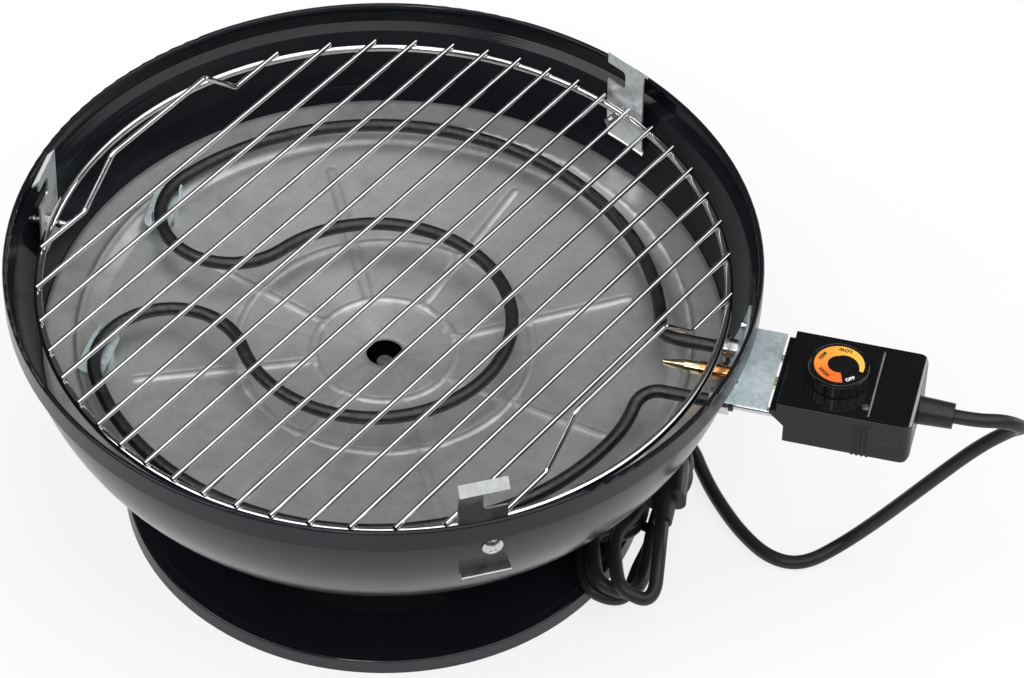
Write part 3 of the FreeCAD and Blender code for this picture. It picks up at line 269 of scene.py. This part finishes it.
def shade(colour: Colour, factor: float) -> Colour:
    """A colour made lighter or darker by a factor."""
    return (min(1.0, colour[0] * factor), min(1.0, colour[1] * factor), min(1.0, colour[2] * factor))


@dataclass(frozen=True)
class Enamel:
    """Stoved enamel on sheet steel, with a faint orange peel or drawing rings, and light rubbing."""

    name: str
    colour: Colour
    roughness: float
    gloss: float
    peel: float
    rounding: float = 0.0
    ringed: bool = False

    def material(self) -> bpy.types.Material:
        """Make the material.

        Returns:
            The enamel's material.
        """
        sheet = NodeSheet(self.name)
        cloud = sheet.noise(9.0, detail=4.0)
        sheet.tint(cloud, self.colour, low=0.88, high=1.12)
        rubbed = sheet.noise(60.0, detail=6.0, rough=0.65)
        sheet.drive("Roughness", sheet.spread(rubbed, self.roughness * 0.88, self.roughness * 1.14))
        sheet.fix(Specular_IOR_Level=self.gloss)
        if self.ringed:
            rings = sheet.turned_coordinates(around=9.0, along=420.0)
            relief = sheet.noise(1.0, rough=0.6, where=rings)
        else:
            relief = sheet.noise(1400.0, detail=2.0)
        sheet.bump(relief, self.peel, depth=0.0002, rounding=self.rounding)
        return sheet.material


@dataclass(frozen=True)
class Metal:
    """Bare, plated or coated metal with the grain of its making."""

    name: str
    colour: Colour
    roughness: float
    grain: Grain
    bare: float = 1.0

    def material(self) -> bpy.types.Material:
        """Make the material.

        Returns:
            The metal's material.
        """
        sheet = NodeSheet(self.name)
        sheet.fix(Metallic=self.bare)
        makers: dict[Grain, Callable[[NodeSheet], None]] = {
            Grain.SPUN: self.spun, Grain.SPANGLED: self.spangled,
            Grain.ROLLED: self.rolled, Grain.PLATED: self.plated,
        }
        makers[self.grain](sheet)
        return sheet.material

    def spun(self, sheet: NodeSheet) -> None:
        """Rings of the spinning tool, clouds, faint painted highlight streaks from the centre and soft
        pressed edges.

        Args:
            sheet: Material to be filled.
        """
        # The radial streaks are painted highlights: they lighten and darken the colour where a spun sheet
        # would catch the lamps; the clouds are the sheet's own tone
        spokes = sheet.turned_coordinates(around=24.0, along=4.0)
        highlight_streaks = sheet.noise(1.0, detail=2.0, where=spokes)
        clouds = sheet.noise(40.0, detail=6.0, rough=0.68)
        mixed = sheet.math("ADD", sheet.math("MULTIPLY", highlight_streaks, 0.35), sheet.math("MULTIPLY", clouds, 0.65))
        turns = sheet.turned_coordinates(around=5.0, along=700.0)
        rings = sheet.noise(1.0, detail=4.0, rough=0.7, where=turns)
        sheet.tint(mixed, self.colour, low=0.68, high=1.28)
        sheet.drive("Roughness", sheet.spread(mixed, self.roughness * 1.2, self.roughness * 0.8))
        sheet.bump(rings, strength=0.05, depth=0.0003, rounding=0.005)

    def spangled(self, sheet: NodeSheet) -> None:
        """Crystals of a zinc coat, with faint stains.

        Args:
            sheet: Material to be filled.
        """
        crystal = sheet.cells(420.0)
        stain = sheet.noise(45.0, detail=5.0, rough=0.6)
        mixed = sheet.math("ADD", sheet.math("MULTIPLY", crystal, 0.22), sheet.math("MULTIPLY", stain, 0.78))
        sheet.tint(mixed, self.colour, low=0.78, high=1.14)
        facets = sheet.spread(crystal, self.roughness * 0.85, self.roughness * 1.15, start=0.1, end=0.9)
        sheet.drive("Roughness", facets)
        sheet.bump(stain, strength=0.08, depth=0.0004)

    def rolled(self, sheet: NodeSheet) -> None:
        """Fine mottled oxide of a rolled or drawn sheath.

        Args:
            sheet: Material to be filled.
        """
        mottle = sheet.noise(320.0, detail=5.0, rough=0.6)
        sheet.tint(mottle, self.colour, low=0.7, high=1.3)
        patches = sheet.noise(90.0, detail=4.0)
        sheet.drive("Roughness", sheet.spread(patches, self.roughness * 0.8, self.roughness * 1.2))
        sheet.bump(mottle, strength=0.15, depth=0.0002)

    def plated(self, sheet: NodeSheet) -> None:
        """Bright plating with a faint haze.

        Args:
            sheet: Material to be filled.
        """
        haze = sheet.noise(140.0, detail=4.0, rough=0.6)
        sheet.tint(haze, self.colour, low=0.93, high=1.05)
        sheet.drive("Roughness", sheet.spread(haze, self.roughness * 0.6, self.roughness * 1.5))


@dataclass(frozen=True)
class Moulding:
    """Moulded plastic or rubber with a fine cast texture."""

    name: str
    colour: Colour
    roughness: float
    texture: float
    texture_scale: float = 2600.0
    gloss: float = 0.5
    rounding: float = 0.0

    def material(self) -> bpy.types.Material:
        """Make the material.

        Returns:
            The moulding's material.
        """
        sheet = NodeSheet(self.name)
        sheet.tint(sheet.noise(35.0, detail=4.0), self.colour, low=0.85, high=1.18)
        worn = sheet.noise(110.0, detail=5.0, rough=0.6)
        sheet.drive("Roughness", sheet.spread(worn, self.roughness * 0.85, self.roughness * 1.15))
        sheet.fix(Specular_IOR_Level=self.gloss)
        cast = sheet.noise(self.texture_scale)
        sheet.bump(cast, self.texture, depth=0.0002, rounding=self.rounding)
        return sheet.material


@dataclass(frozen=True)
class Print:
    """Ink on the dial, blended round the dial's axis between two colours."""

    name: str
    first: Colour
    last: Colour

    def material(self) -> bpy.types.Material:
        """Make the material.

        Returns:
            The ink's material.
        """
        sheet = NodeSheet(self.name)
        attribute = sheet.add("ShaderNodeAttribute", attribute_name="around")
        blend = ((0.12, self.first), (0.85, self.last))
        sheet.drive("Base Color", sheet.ramp(attribute.outputs["Fac"], blend))
        sheet.drive("Roughness", sheet.spread(sheet.noise(400.0), low=0.3, high=0.42))
        return sheet.material


@dataclass(frozen=True)
class Lens:
    """Clear tinted plastic of the pilot lens."""

    name: str
    colour: Colour

    def material(self) -> bpy.types.Material:
        """Make the material.

        Returns:
            The lens's material.
        """
        sheet = NodeSheet(self.name)
        sheet.tint(sheet.noise(600.0, detail=2.0), self.colour, low=0.9, high=1.1)
        sheet.fix(Roughness=0.08, Transmission_Weight=0.35, IOR=1.49, Coat_Weight=0.5)
        return sheet.material


BOWL_ENAMEL = Enamel("bowl_satin_enamel", (0.0098, 0.0128, 0.0165),
                     roughness=0.22, gloss=0.30, peel=0.05, rounding=0.0006)
INSIDE_ENAMEL = Enamel("bowl_inside_enamel", (0.0090, 0.0106, 0.0138),
                       roughness=0.1, gloss=0.25, peel=0.8, ringed=True)
BASE_ENAMEL = Enamel("base_gloss_enamel", (0.0098, 0.0118, 0.0152),
                     roughness=0.08, gloss=0.5, peel=0.02, rounding=0.0012)
# Base edge: a rougher finish than the top, and a lighter colour that is painted light on the upright faces
EDGE_LIT_ENAMEL = Enamel("base_edge_lit_enamel", (0.042, 0.046, 0.052),
                     roughness=0.30, gloss=0.4, peel=0.05, rounding=0.0008)
PAN_METAL = Metal("pan_spun_sheet", (0.595, 0.60, 0.60), roughness=0.36, grain=Grain.SPUN, bare=0.75)
SHEATH_METAL = Metal("element_sheath", (0.066, 0.069, 0.066), roughness=0.46, grain=Grain.ROLLED)
ZINC = Metal("zinc_coat", (0.73, 0.83, 0.86), roughness=0.38, grain=Grain.SPANGLED, bare=0.55)
STRAP_ZINC = Metal("strap_zinc_coat", (0.74, 0.76, 0.77), roughness=0.36, grain=Grain.SPANGLED, bare=0.88)
# Darker copy of the strap zinc for the flats of the strap feet: painted shade
FOOT_SHADE_ZINC = Metal("strap_foot_shade_zinc", (0.64, 0.66, 0.68), roughness=0.42, grain=Grain.SPANGLED)
CHROME = Metal("grid_plating", (0.80, 0.80, 0.81), roughness=0.07, grain=Grain.PLATED)
STEEL = Metal("fastener_plating", (0.58, 0.59, 0.60), roughness=0.2, grain=Grain.PLATED)
BOLT_STEEL = Metal("bolt_steel", (0.24, 0.24, 0.26), roughness=0.45, grain=Grain.ROLLED)
BRASS = Metal("contact_brass", (0.78, 0.58, 0.26), roughness=0.16, grain=Grain.PLATED)
PROBE = Metal("probe_plating", (0.80, 0.70, 0.46), roughness=0.14, grain=Grain.PLATED)
COPPER = Metal("collar_copper", (0.76, 0.34, 0.12), roughness=0.18, grain=Grain.PLATED)
HOUSING = Moulding("housing_plastic", (0.0062, 0.0066, 0.0080),
                   roughness=0.08, texture=0.03, gloss=0.5, rounding=0.0012)
SIDE_PLASTIC = Moulding("housing_side_plastic", (0.012, 0.0135, 0.0170),
                        roughness=0.32, texture=0.08, gloss=0.3, rounding=0.0012)
KNOB = Moulding("knob_plastic", (0.005, 0.005, 0.0055),
                roughness=0.16, texture=0.03, gloss=0.6, rounding=0.0009)
DIAL_BLACK = Moulding("dial_face", (0.006, 0.006, 0.0065), roughness=0.3, texture=0.02, gloss=0.3)
RUBBER = Moulding("cord_rubber", (0.0170, 0.0182, 0.0210),
                  roughness=0.40, texture=0.08, texture_scale=1500.0, gloss=0.35)
BROWN = Moulding("switch_moulding", (0.16, 0.10, 0.06), roughness=0.5, texture=0.1)
WHITE_INK = Moulding("white_ink", (0.86, 0.86, 0.86), roughness=0.45, texture=0.02)
DARK_INK = Moulding("dark_ink", (0.030, 0.014, 0.008), roughness=0.5, texture=0.02)
GREY_INK = Moulding("grey_ink", (0.26, 0.26, 0.26), roughness=0.45, texture=0.02)
SMOKE = Lens("pilot_lens_plastic", (0.10, 0.097, 0.097))

Finish = Enamel | Metal | Moulding | Print | Lens
MADE: dict[str, bpy.types.Material] = {}


def finish_of(finish: Finish) -> bpy.types.Material:
    """The material of a finish, made once.

    Args:
        finish: The finish.

    Returns:
        Its material.
    """
    if finish.name not in MADE:
        MADE[finish.name] = finish.material()
    return MADE[finish.name]


def dress(nodes: Iterable[str], finish: Finish) -> None:
    """Give CAD nodes a finish and smooth shading.

    Args:
        nodes: Names of the nodes.
        finish: Their finish.
    """
    for name in nodes:
        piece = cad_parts[name]
        piece.data.materials.clear()
        piece.data.materials.append(finish_of(finish))
        smooth(piece.data)
        LOG.info("dressed %s in %s", name, finish.name)


def upright(face: bpy.types.MeshPolygon) -> bool:
    """Whether a face stands more upright than flat."""
    return abs(face.normal.z) < UPRIGHT_LIMIT


def second_finish(node: str, finish: Finish, chosen: Callable[[bpy.types.MeshPolygon], bool]) -> None:
    """Give some faces of a dressed CAD node a second finish.

    Args:
        node: Name of the node.
        finish: The second finish.
        chosen: Says which faces get it.
    """
    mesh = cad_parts[node].data
    mesh.materials.append(finish_of(finish))
    for face in mesh.polygons:
        if chosen(face):
            face.material_index = 1


def smooth(mesh: bpy.types.Mesh, angle: float = 32.0) -> None:
    """Shade a mesh smoothly except over sharp edges.

    Args:
        mesh: The mesh.
        angle: Least angle of a sharp edge, in degrees.
    """
    mesh.polygons.foreach_set("use_smooth", [True] * len(mesh.polygons))
    mesh.set_sharp_from_angle(angle=math.radians(angle))


def new_piece(name: str, vertices: Sequence[Vector], faces: Sequence[Sequence[int]], finish: Finish,
              body: str) -> bpy.types.Object:
    """Make a piece from vertices and faces and let it ride a body.

    Args:
        name: Name of the piece.
        vertices: Points in the row frame.
        faces: Corners of each face.
        finish: Its finish.
        body: Body that it rides.

    Returns:
        The piece.
    """
    mesh = bpy.data.meshes.new(name)
    mesh.from_pydata([tuple(v) for v in vertices], [], [list(f) for f in faces])
    mesh.update()
    return adopt(name, mesh, finish, body)


def adopt(name: str, data: bpy.types.ID, finish: Finish, body: str) -> bpy.types.Object:
    """Put a mesh or a curve into the scene as a dressed piece.

    Args:
        name: Name of the piece.
        data: Its mesh or curve.
        finish: Its finish.
        body: Body that it rides.

    Returns:
        The piece.
    """
    piece = bpy.data.objects.new(name, data)
    bpy.context.scene.collection.objects.link(piece)
    data.materials.append(finish_of(finish))
    if isinstance(data, bpy.types.Mesh):
        smooth(data)
    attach(piece, body)
    LOG.info("made %s", name)
    return piece


@dataclass(frozen=True)
class Lamp:
    """Square soft lamp."""

    name: str
    place: Place
    size: float
    power: float

    def hang(self, aim: Place) -> None:
        """Put the lamp into the scene.

        Args:
            aim: Point that it faces.
        """
        data = bpy.data.lights.new(self.name, "AREA")
        data.size = self.size
        data.energy = self.power
        lamp = bpy.data.objects.new(self.name, data)
        lamp.location = self.place
        beam = Vector(aim) - Vector(self.place)
        lamp.rotation_euler = beam.to_track_quat("-Z", "Y").to_euler()
        bpy.context.scene.collection.objects.link(lamp)


@dataclass
class Studio:
    """Camera at the viewpoint, soft light, pale floor."""

    location: Place = (0.49221, -1.77486, 1.97716)
    forward: Place = (-0.16007, 0.68560, -0.71016)
    roll: float = 1.28
    lens: float = 154.39
    floor_size: float = 12.0
    ceiling_axis: Place = (0.35, -0.10, 0.93)
    ceiling_start: float = 0.66
    ceiling_full: float = 0.90
    horizon_level: float = 0.06
    ceiling_level: float = 2.0
    floor_glow: float = 0.80
    floor_colour: Colour = (0.97, 0.97, 0.97)
    lit: Place = (0.05, 0.0, 0.1)
    lamps: tuple[Lamp, ...] = (
        Lamp("key", (-1.6, -0.9, 2.4), size=1.6, power=26.0),
        Lamp("fill", (0.1, -2.0, 2.15), size=0.55, power=11.0),
        Lamp("rim", (2.0, 1.9, 0.6), size=0.8, power=11.0),
    )

    def camera(self) -> None:
        """Set the camera."""
        data = bpy.data.cameras.new("viewpoint")
        data.lens = self.lens
        data.sensor_fit = "HORIZONTAL"
        data.sensor_width = 36.0
        data.clip_end = 50.0
        seat = bpy.data.objects.new("viewpoint", data)
        bpy.context.scene.collection.objects.link(seat)
        ahead = Vector(self.forward).normalized()
        right = ahead.cross(Vector((0, 0, 1))).normalized()
        up = right.cross(ahead)
        turn = math.radians(self.roll)
        across = right * math.cos(turn) + up * math.sin(turn)
        upward = up * math.cos(turn) - right * math.sin(turn)
        axes = Matrix((across, upward, -ahead)).transposed()
        seat.matrix_world = Matrix.Translation(self.location) @ axes.to_4x4()
        bpy.context.scene.camera = seat

    def world(self) -> None:
        """Soft light that grows from the horizon to a broad pale ceiling to the right of the grill."""
        world = bpy.data.worlds.new("studio")
        bpy.context.scene.world = world
        world.use_nodes = True
        tree = world.node_tree
        toward = tree.nodes.new("ShaderNodeVectorMath")
        toward.operation = "DOT_PRODUCT"
        toward.inputs[1].default_value = self.ceiling_axis
        tree.links.new(tree.nodes.new("ShaderNodeTexCoord").outputs["Generated"], toward.inputs[0])
        level = tree.nodes.new("ShaderNodeMapRange")
        level.interpolation_type = "SMOOTHSTEP"
        level.inputs["From Min"].default_value = self.ceiling_start
        level.inputs["From Max"].default_value = self.ceiling_full
        level.inputs["To Min"].default_value = self.horizon_level
        level.inputs["To Max"].default_value = self.ceiling_level
        tree.links.new(toward.outputs["Value"], level.inputs["Value"])
        background = tree.nodes["Background"]
        background.inputs["Color"].default_value = (1.0, 1.0, 1.0, 1.0)
        tree.links.new(level.outputs["Result"], background.inputs["Strength"])

    def floor(self) -> None:
        """Lay the pale floor, which looks nearly white and keeps a soft shadow."""
        half = self.floor_size / 2
        mesh = bpy.data.meshes.new("floor")
        corners = [(-half, -half, 0), (half, -half, 0), (half, half, 0), (-half, half, 0)]
        mesh.from_pydata(corners, [], [(0, 1, 2, 3)])
        sheet = NodeSheet("floor_paper")
        sheet.tint(sheet.noise(3.0), self.floor_colour, low=0.995, high=1.005)
        sheet.fix(Roughness=0.9, Specular_IOR_Level=0.1)
        rays = sheet.add("ShaderNodeLightPath").outputs
        seen = sheet.math("MAXIMUM", rays["Is Camera Ray"], rays["Is Glossy Ray"])
        seen = sheet.math("MAXIMUM", seen, rays["Is Transmission Ray"])
        blend = sheet.add("ShaderNodeMixShader")
        sheet.link(sheet.math("MULTIPLY", seen, self.floor_glow), blend.inputs["Fac"])
        sheet.link(sheet.shader.outputs["BSDF"], blend.inputs[1])
        sheet.link(sheet.add("ShaderNodeEmission").outputs["Emission"], blend.inputs[2])
        sheet.link(blend.outputs["Shader"], sheet.tree.nodes["Material Output"].inputs["Surface"])
        mesh.materials.append(sheet.material)
        floor = bpy.data.objects.new("floor", mesh)
        bpy.context.scene.collection.objects.link(floor)

    def build(self) -> None:
        """Set up the whole studio."""
        bpy.context.scene.view_settings.view_transform = "Standard"
        self.camera()
        self.world()
        self.floor()
        for lamp in self.lamps:
            lamp.hang(self.lit)


@dataclass
class Lead:
    """Mains lead: from the strain relief down to the table, then bundled beside the base."""

    diameter: float = 0.0085
    length: float = 1.18
    route: tuple[Place, ...] = (
        (0.3415, 0.0, 0.14375), (0.3555, 0.0, 0.14375), (0.3705, 0.004, 0.1435), (0.382, 0.014, 0.131),
        (0.3745, 0.023, 0.1185), (0.356, 0.0205, 0.101), (0.331, 0.0145, 0.070), (0.306, 0.012, 0.035),
        (0.2835, 0.009, 0.007), (0.2635, -0.011, 0.00435), (0.243, -0.011, 0.00435),
        (0.2225, 0.0045, 0.00435), (0.205, 0.0245, 0.00435), (0.191, 0.044, 0.00435),
    )
    centre: Place = (0.167, -0.008, 0.00705)
    fronts: tuple[float, ...] = (0.065, 0.0665, 0.077)
    fans: tuple[float, ...] = (0.014, 0.0075, -0.008)
    back: float = 0.052
    first_back: float = 0.075
    lobe: float = 0.015
    first_lobe: float = 0.020
    waist: float = 0.0052
    layer: float = 0.0097
    tilt: float = 0.34
    splay: float = 0.0025
    slant: float = 0.009
    sleeve: Place = (0.1805, -0.0355, 0.045)
    sleeve_heading: Place = (-0.14, 1.0, 0.1)
    handle: float = 0.3

    def at(self, along: float, across: float, level: float, fan: float = 0.0) -> Vector:
        """Point of the bundle.

        Args:
            along: Distance along the runs from the waist.
            across: Distance across them.
            level: Layer, counted from 0.
            fan: Sideways shift.

        Returns:
            The point in the row frame.
        """
        lean = self.tilt * (self.lobe - across)
        return Vector(self.centre) + Vector((across - fan, along, lean + level * self.layer))

    def stops(self) -> list[tuple[Vector, Vector]]:
        """Places that the bundled turns pass, each with the direction there.

        Returns:
            The stops from the table to the plug's sleeve.
        """
        over = Vector((-1.0, 0.0, self.tilt)).normalized()
        forth = Vector((0.0, -1.0, 0.0))
        splayed = Vector((self.splay, -self.slant, 0.0)).normalized()
        stops: list[tuple[Vector, Vector]] = []
        for turn, (front, fan) in enumerate(zip(self.fronts, self.fans)):
            back, lobe = (self.first_back, self.first_lobe) if turn == 0 else (self.back, self.lobe)
            shoulder = self.lobe - front
            stops += [
                (self.at(back, 0.0, turn), over),
                (self.at(back - lobe, -lobe, turn), forth),
                (self.at(0.0, -self.waist, turn), forth),
                (self.at(shoulder + self.slant, -self.lobe - self.splay, turn, fan), splayed),
                (self.at(-front, 0.0, turn, fan), -over),
            ]
            if turn < len(self.fronts) - 1:
                stops += [
                    (self.at(shoulder, self.lobe, turn, fan), -forth),
                    (self.at(0.0, self.waist, turn), -forth),
                    (self.at(self.back - self.lobe, self.lobe, turn + 1), -forth),
                ]
        heading = Vector(self.sleeve_heading).normalized()
        entry = Vector(self.sleeve)
        return stops + [(entry - heading * self.diameter, heading), (entry, heading)]

    def bundle(self) -> list[Vector]:
        """Control points of the bundled turns: one before and one after each stop.

        Returns:
            The points from the table to the plug's sleeve.
        """
        stops = self.stops()
        before = Vector(self.route[-1])
        points: list[Vector] = []
        for index, (place, heading) in enumerate(stops[:-1]):
            after = stops[index + 1][0]
            points.append(place - heading * self.handle * (place - before).length)
            points.append(place + heading * self.handle * (after - place).length)
            before = place
        return points + [stops[-1][0]]

    def build(self) -> None:
        """Make the lead as one smooth line with a round section."""
        points = [Vector(p) for p in self.route] + self.bundle()
        curve = bpy.data.curves.new("mains_lead", "CURVE")
        curve.dimensions = "3D"
        spline = curve.splines.new("NURBS")
        spline.points.add(len(points) - 1)
        for target, point in zip(spline.points, points):
            target.co = (*point, 1.0)
        spline.order_u = 3
        spline.use_endpoint_u = True
        spline.resolution_u = 8
        curve.bevel_depth = self.diameter / 2
        curve.bevel_resolution = 6
        lead = adopt("mains_lead", curve, RUBBER, "thermostat")
        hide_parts("power_cord", "cord_hank")

    def dress(self) -> None:
        """Finish the pieces on the lead."""
        dress(("strain_relief", "plug_body", "cord_tie"), RUBBER)
        dress(("plug_blades",), BRASS)


@dataclass
class Stand:
    """Round base, column and the bolt through them."""

    plate_radius: float = 0.158

    def dress(self) -> None:
        """Finish the stand, with a rougher enamel round the base's edge whose lighter colour is painted
        light.
        """
        dress(("pedestal",), BASE_ENAMEL)
        dress(("tie_bolt", "tie_nut"), BOLT_STEEL)
        dress(("base_plate",), BASE_ENAMEL)
        second_finish("base_plate", EDGE_LIT_ENAMEL, self.on_edge)

    def on_edge(self, face: bpy.types.MeshPolygon) -> bool:
        """Whether a face lies on the base's edge."""
        return upright(face) and math.hypot(face.center.x, face.center.y) > self.plate_radius


@dataclass
class Bowl:
    """Bowl with a satin outside and a gloss inside."""

    facing: float = 0.3

    def dress(self) -> None:
        """Finish the bowl's two sides."""
        dress(("bowl",), BOWL_ENAMEL)
        second_finish("bowl", INSIDE_ENAMEL, self.inside)

    def inside(self, face: bpy.types.MeshPolygon) -> bool:
        """Whether a face doesn't look outward."""
        centre = face.center
        outward = centre.x * face.normal.x + centre.y * face.normal.y
        return outward < self.facing * math.hypot(centre.x, centre.y)


@dataclass
class Heater:
    """Reflector pan, element, its rests and its terminals."""

    pan_crease: float = 50.0

    def dress(self) -> None:
        """Finish the heater's pieces."""
        dress(("reflector",), PAN_METAL)
        smooth(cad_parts["reflector"].data, self.pan_crease)
        dress(("heating_element",), SHEATH_METAL)
        dress(("element_rest_rear", "element_rest_front", "terminal_plate", "terminal_guard"), ZINC)
        dress(("terminal_pins", "terminal_bushings", "guard_rivets"), STEEL)


@dataclass
class CookingGrid:
    """Plated wire grid and the three straps that carry it."""

    foot_height: float = 0.003

    def dress(self) -> None:
        """Finish the grid and its straps."""
        dress(("grid_ring", "grid_bars", "grid_handle_front", "grid_handle_rear"), CHROME)
        straps = ("grid_bracket_1", "grid_bracket_2", "grid_bracket_3")
        dress(straps, STRAP_ZINC)
        for name in straps:
            self.shade_foot(name)
        dress(("bracket_screws", "bracket_nuts"), STEEL)

    def shade_foot(self, strap: str) -> None:
        """Give the flats of the tab at a strap's foot a darker, rougher zinc as painted shade, while the
        tab's end faces keep the lighter zinc.

        Args:
            strap: Name of the strap.
        """
        level = min(vertex.co.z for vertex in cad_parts[strap].data.vertices) + self.foot_height
        # Painted shade: the darker zinc goes on the tab's flat faces only
        second_finish(strap, FOOT_SHADE_ZINC, lambda face: face.center.z < level and not upright(face))


@dataclass
class Dial:
    """Printed dial on the knob."""

    centre: tuple[float, float] = (0.2723, 0.0)
    height: float = 0.16862
    outer: float = 0.0147
    inner_first: float = 0.0124
    inner_last: float = 0.0068
    widening: float = 0.38
    start: float = -12.5
    sweep: float = 300.0
    steps: int = 96
    band_lift: float = 0.00006
    word_lift: float = 0.00012
    word_weight: float = 0.00016
    word_spacing: float = 1.12
    letter: float = 0.0031

    def spot(self, radius: float, angle: float, lift: float) -> Vector:
        """Point on the dial.

        Args:
            radius: Distance from the axis.
            angle: Angle in degrees about the axis.
            lift: Height above the dial's face.

        Returns:
            The point in the row frame.
        """
        turn = math.radians(angle)
        across = Vector((radius * math.cos(turn), radius * math.sin(turn), lift))
        return Vector((*self.centre, self.height)) + across

    def band(self) -> None:
        """Print the band that widens from low heat to high."""
        vertices = []
        for step in range(self.steps + 1):
            share = step / self.steps
            angle = self.start + self.sweep * share
            inner = self.inner_first + (self.inner_last - self.inner_first) * min(1.0, share / self.widening)
            vertices += [self.spot(radius, angle, self.band_lift) for radius in (inner, self.outer)]
        faces = [(2 * i, 2 * i + 1, 2 * i + 3, 2 * i + 2) for i in range(self.steps)]
        ink = Print("dial_ink", (1.0, 0.62, 0.09), (1.0, 0.19, 0.025))
        piece = new_piece("dial_band", vertices, faces, ink, "control_knob")
        around = piece.data.attributes.new("around", "FLOAT", "POINT")
        shares = [step / self.steps for step in range(self.steps + 1) for _ in range(2)]
        around.data.foreach_set("value", shares)

    def word(self, text: str, angle: float, radius: float, finish: Moulding) -> None:
        """Print a word with its head to the dial's centre.

        Args:
            text: The word.
            angle: Its place round the dial, in degrees.
            radius: Distance of its middle from the axis.
            finish: Its ink.
        """
        font = bpy.data.curves.new("word", "FONT")
        font.body = text
        font.size = self.letter
        font.align_x = "CENTER"
        font.align_y = "CENTER"
        font.offset = self.word_weight
        font.space_character = self.word_spacing
        holder = bpy.data.objects.new("word", font)
        bpy.context.scene.collection.objects.link(holder)
        bpy.context.view_layer.update()
        mesh = bpy.data.meshes.new_from_object(holder.evaluated_get(bpy.context.evaluated_depsgraph_get()))
        bpy.data.objects.remove(holder)
        mesh.materials.clear()
        mesh.transform(Matrix.Translation(self.spot(radius, angle, self.word_lift))
                       @ Matrix.Rotation(math.radians(angle + 90), 4, "Z"))
        adopt("dial_word_" + text.lower(), mesh, finish, "control_knob")

    def build(self) -> None:
        """Dress the knob and print the dial."""
        dress(("knob",), KNOB)
        dress(("knob_dial",), DIAL_BLACK)
        dress(("knob_shaft",), STEEL)
        self.band()
        self.word("OFF", angle=-51.0, radius=0.0132, finish=WHITE_INK)
        self.word("LOW", angle=83.0, radius=0.0120, finish=DARK_INK)
        self.word("MED", angle=158.0, radius=0.0117, finish=DARK_INK)
        self.word("HIGH", angle=229.0, radius=0.0113, finish=DARK_INK)


@dataclass
class Thermostat:
    """Plug-in housing with its probe, contacts and printed line."""

    side_level: float = 0.1575
    line_place: float = 0.2952
    line_width: float = 0.0009
    line_reach: float = 0.0268
    line_level: float = 0.15748

    def dress(self) -> None:
        """Finish the thermostat's pieces."""
        halves = ("housing_top", "housing_bottom")
        dress(halves, HOUSING)
        for name in halves:
            second_finish(name, SIDE_PLASTIC, self.on_side)
        self.line()
        dress(("housing_screws",), STEEL)
        dress(("socket_contacts",), BRASS)
        dress(("probe",), PROBE)
        dress(("probe_collar",), COPPER)
        dress(("thermostat_switch",), BROWN)
        dress(("pilot_lens",), SMOKE)

    def on_side(self, face: bpy.types.MeshPolygon) -> bool:
        """Whether a face is one of the housing's upright ones."""
        return upright(face) and face.center.z < self.side_level

    def line(self) -> None:
        """Paint the floor of the groove across the housing's top."""
        half = self.line_width / 2
        reach = self.line_reach
        corners = ((-half, -reach), (half, -reach), (half, reach), (-half, reach))
        vertices = [Vector((self.line_place + x, y, self.line_level)) for x, y in corners]
        new_piece("housing_line", vertices, [(0, 1, 2, 3)], GREY_INK, "thermostat")


def main() -> None:
    """Build the studio and every sub-assembly."""
    logging.basicConfig(level=logging.INFO, format="%(name)s: %(message)s")
    Studio().build()
    lead = Lead()
    lead.build()
    lead.dress()
    Stand().dress()
    Bowl().dress()
    Heater().dress()
    CookingGrid().dress()
    Thermostat().dress()
    Dial().build()


if __name__ == "__main__":
    main()
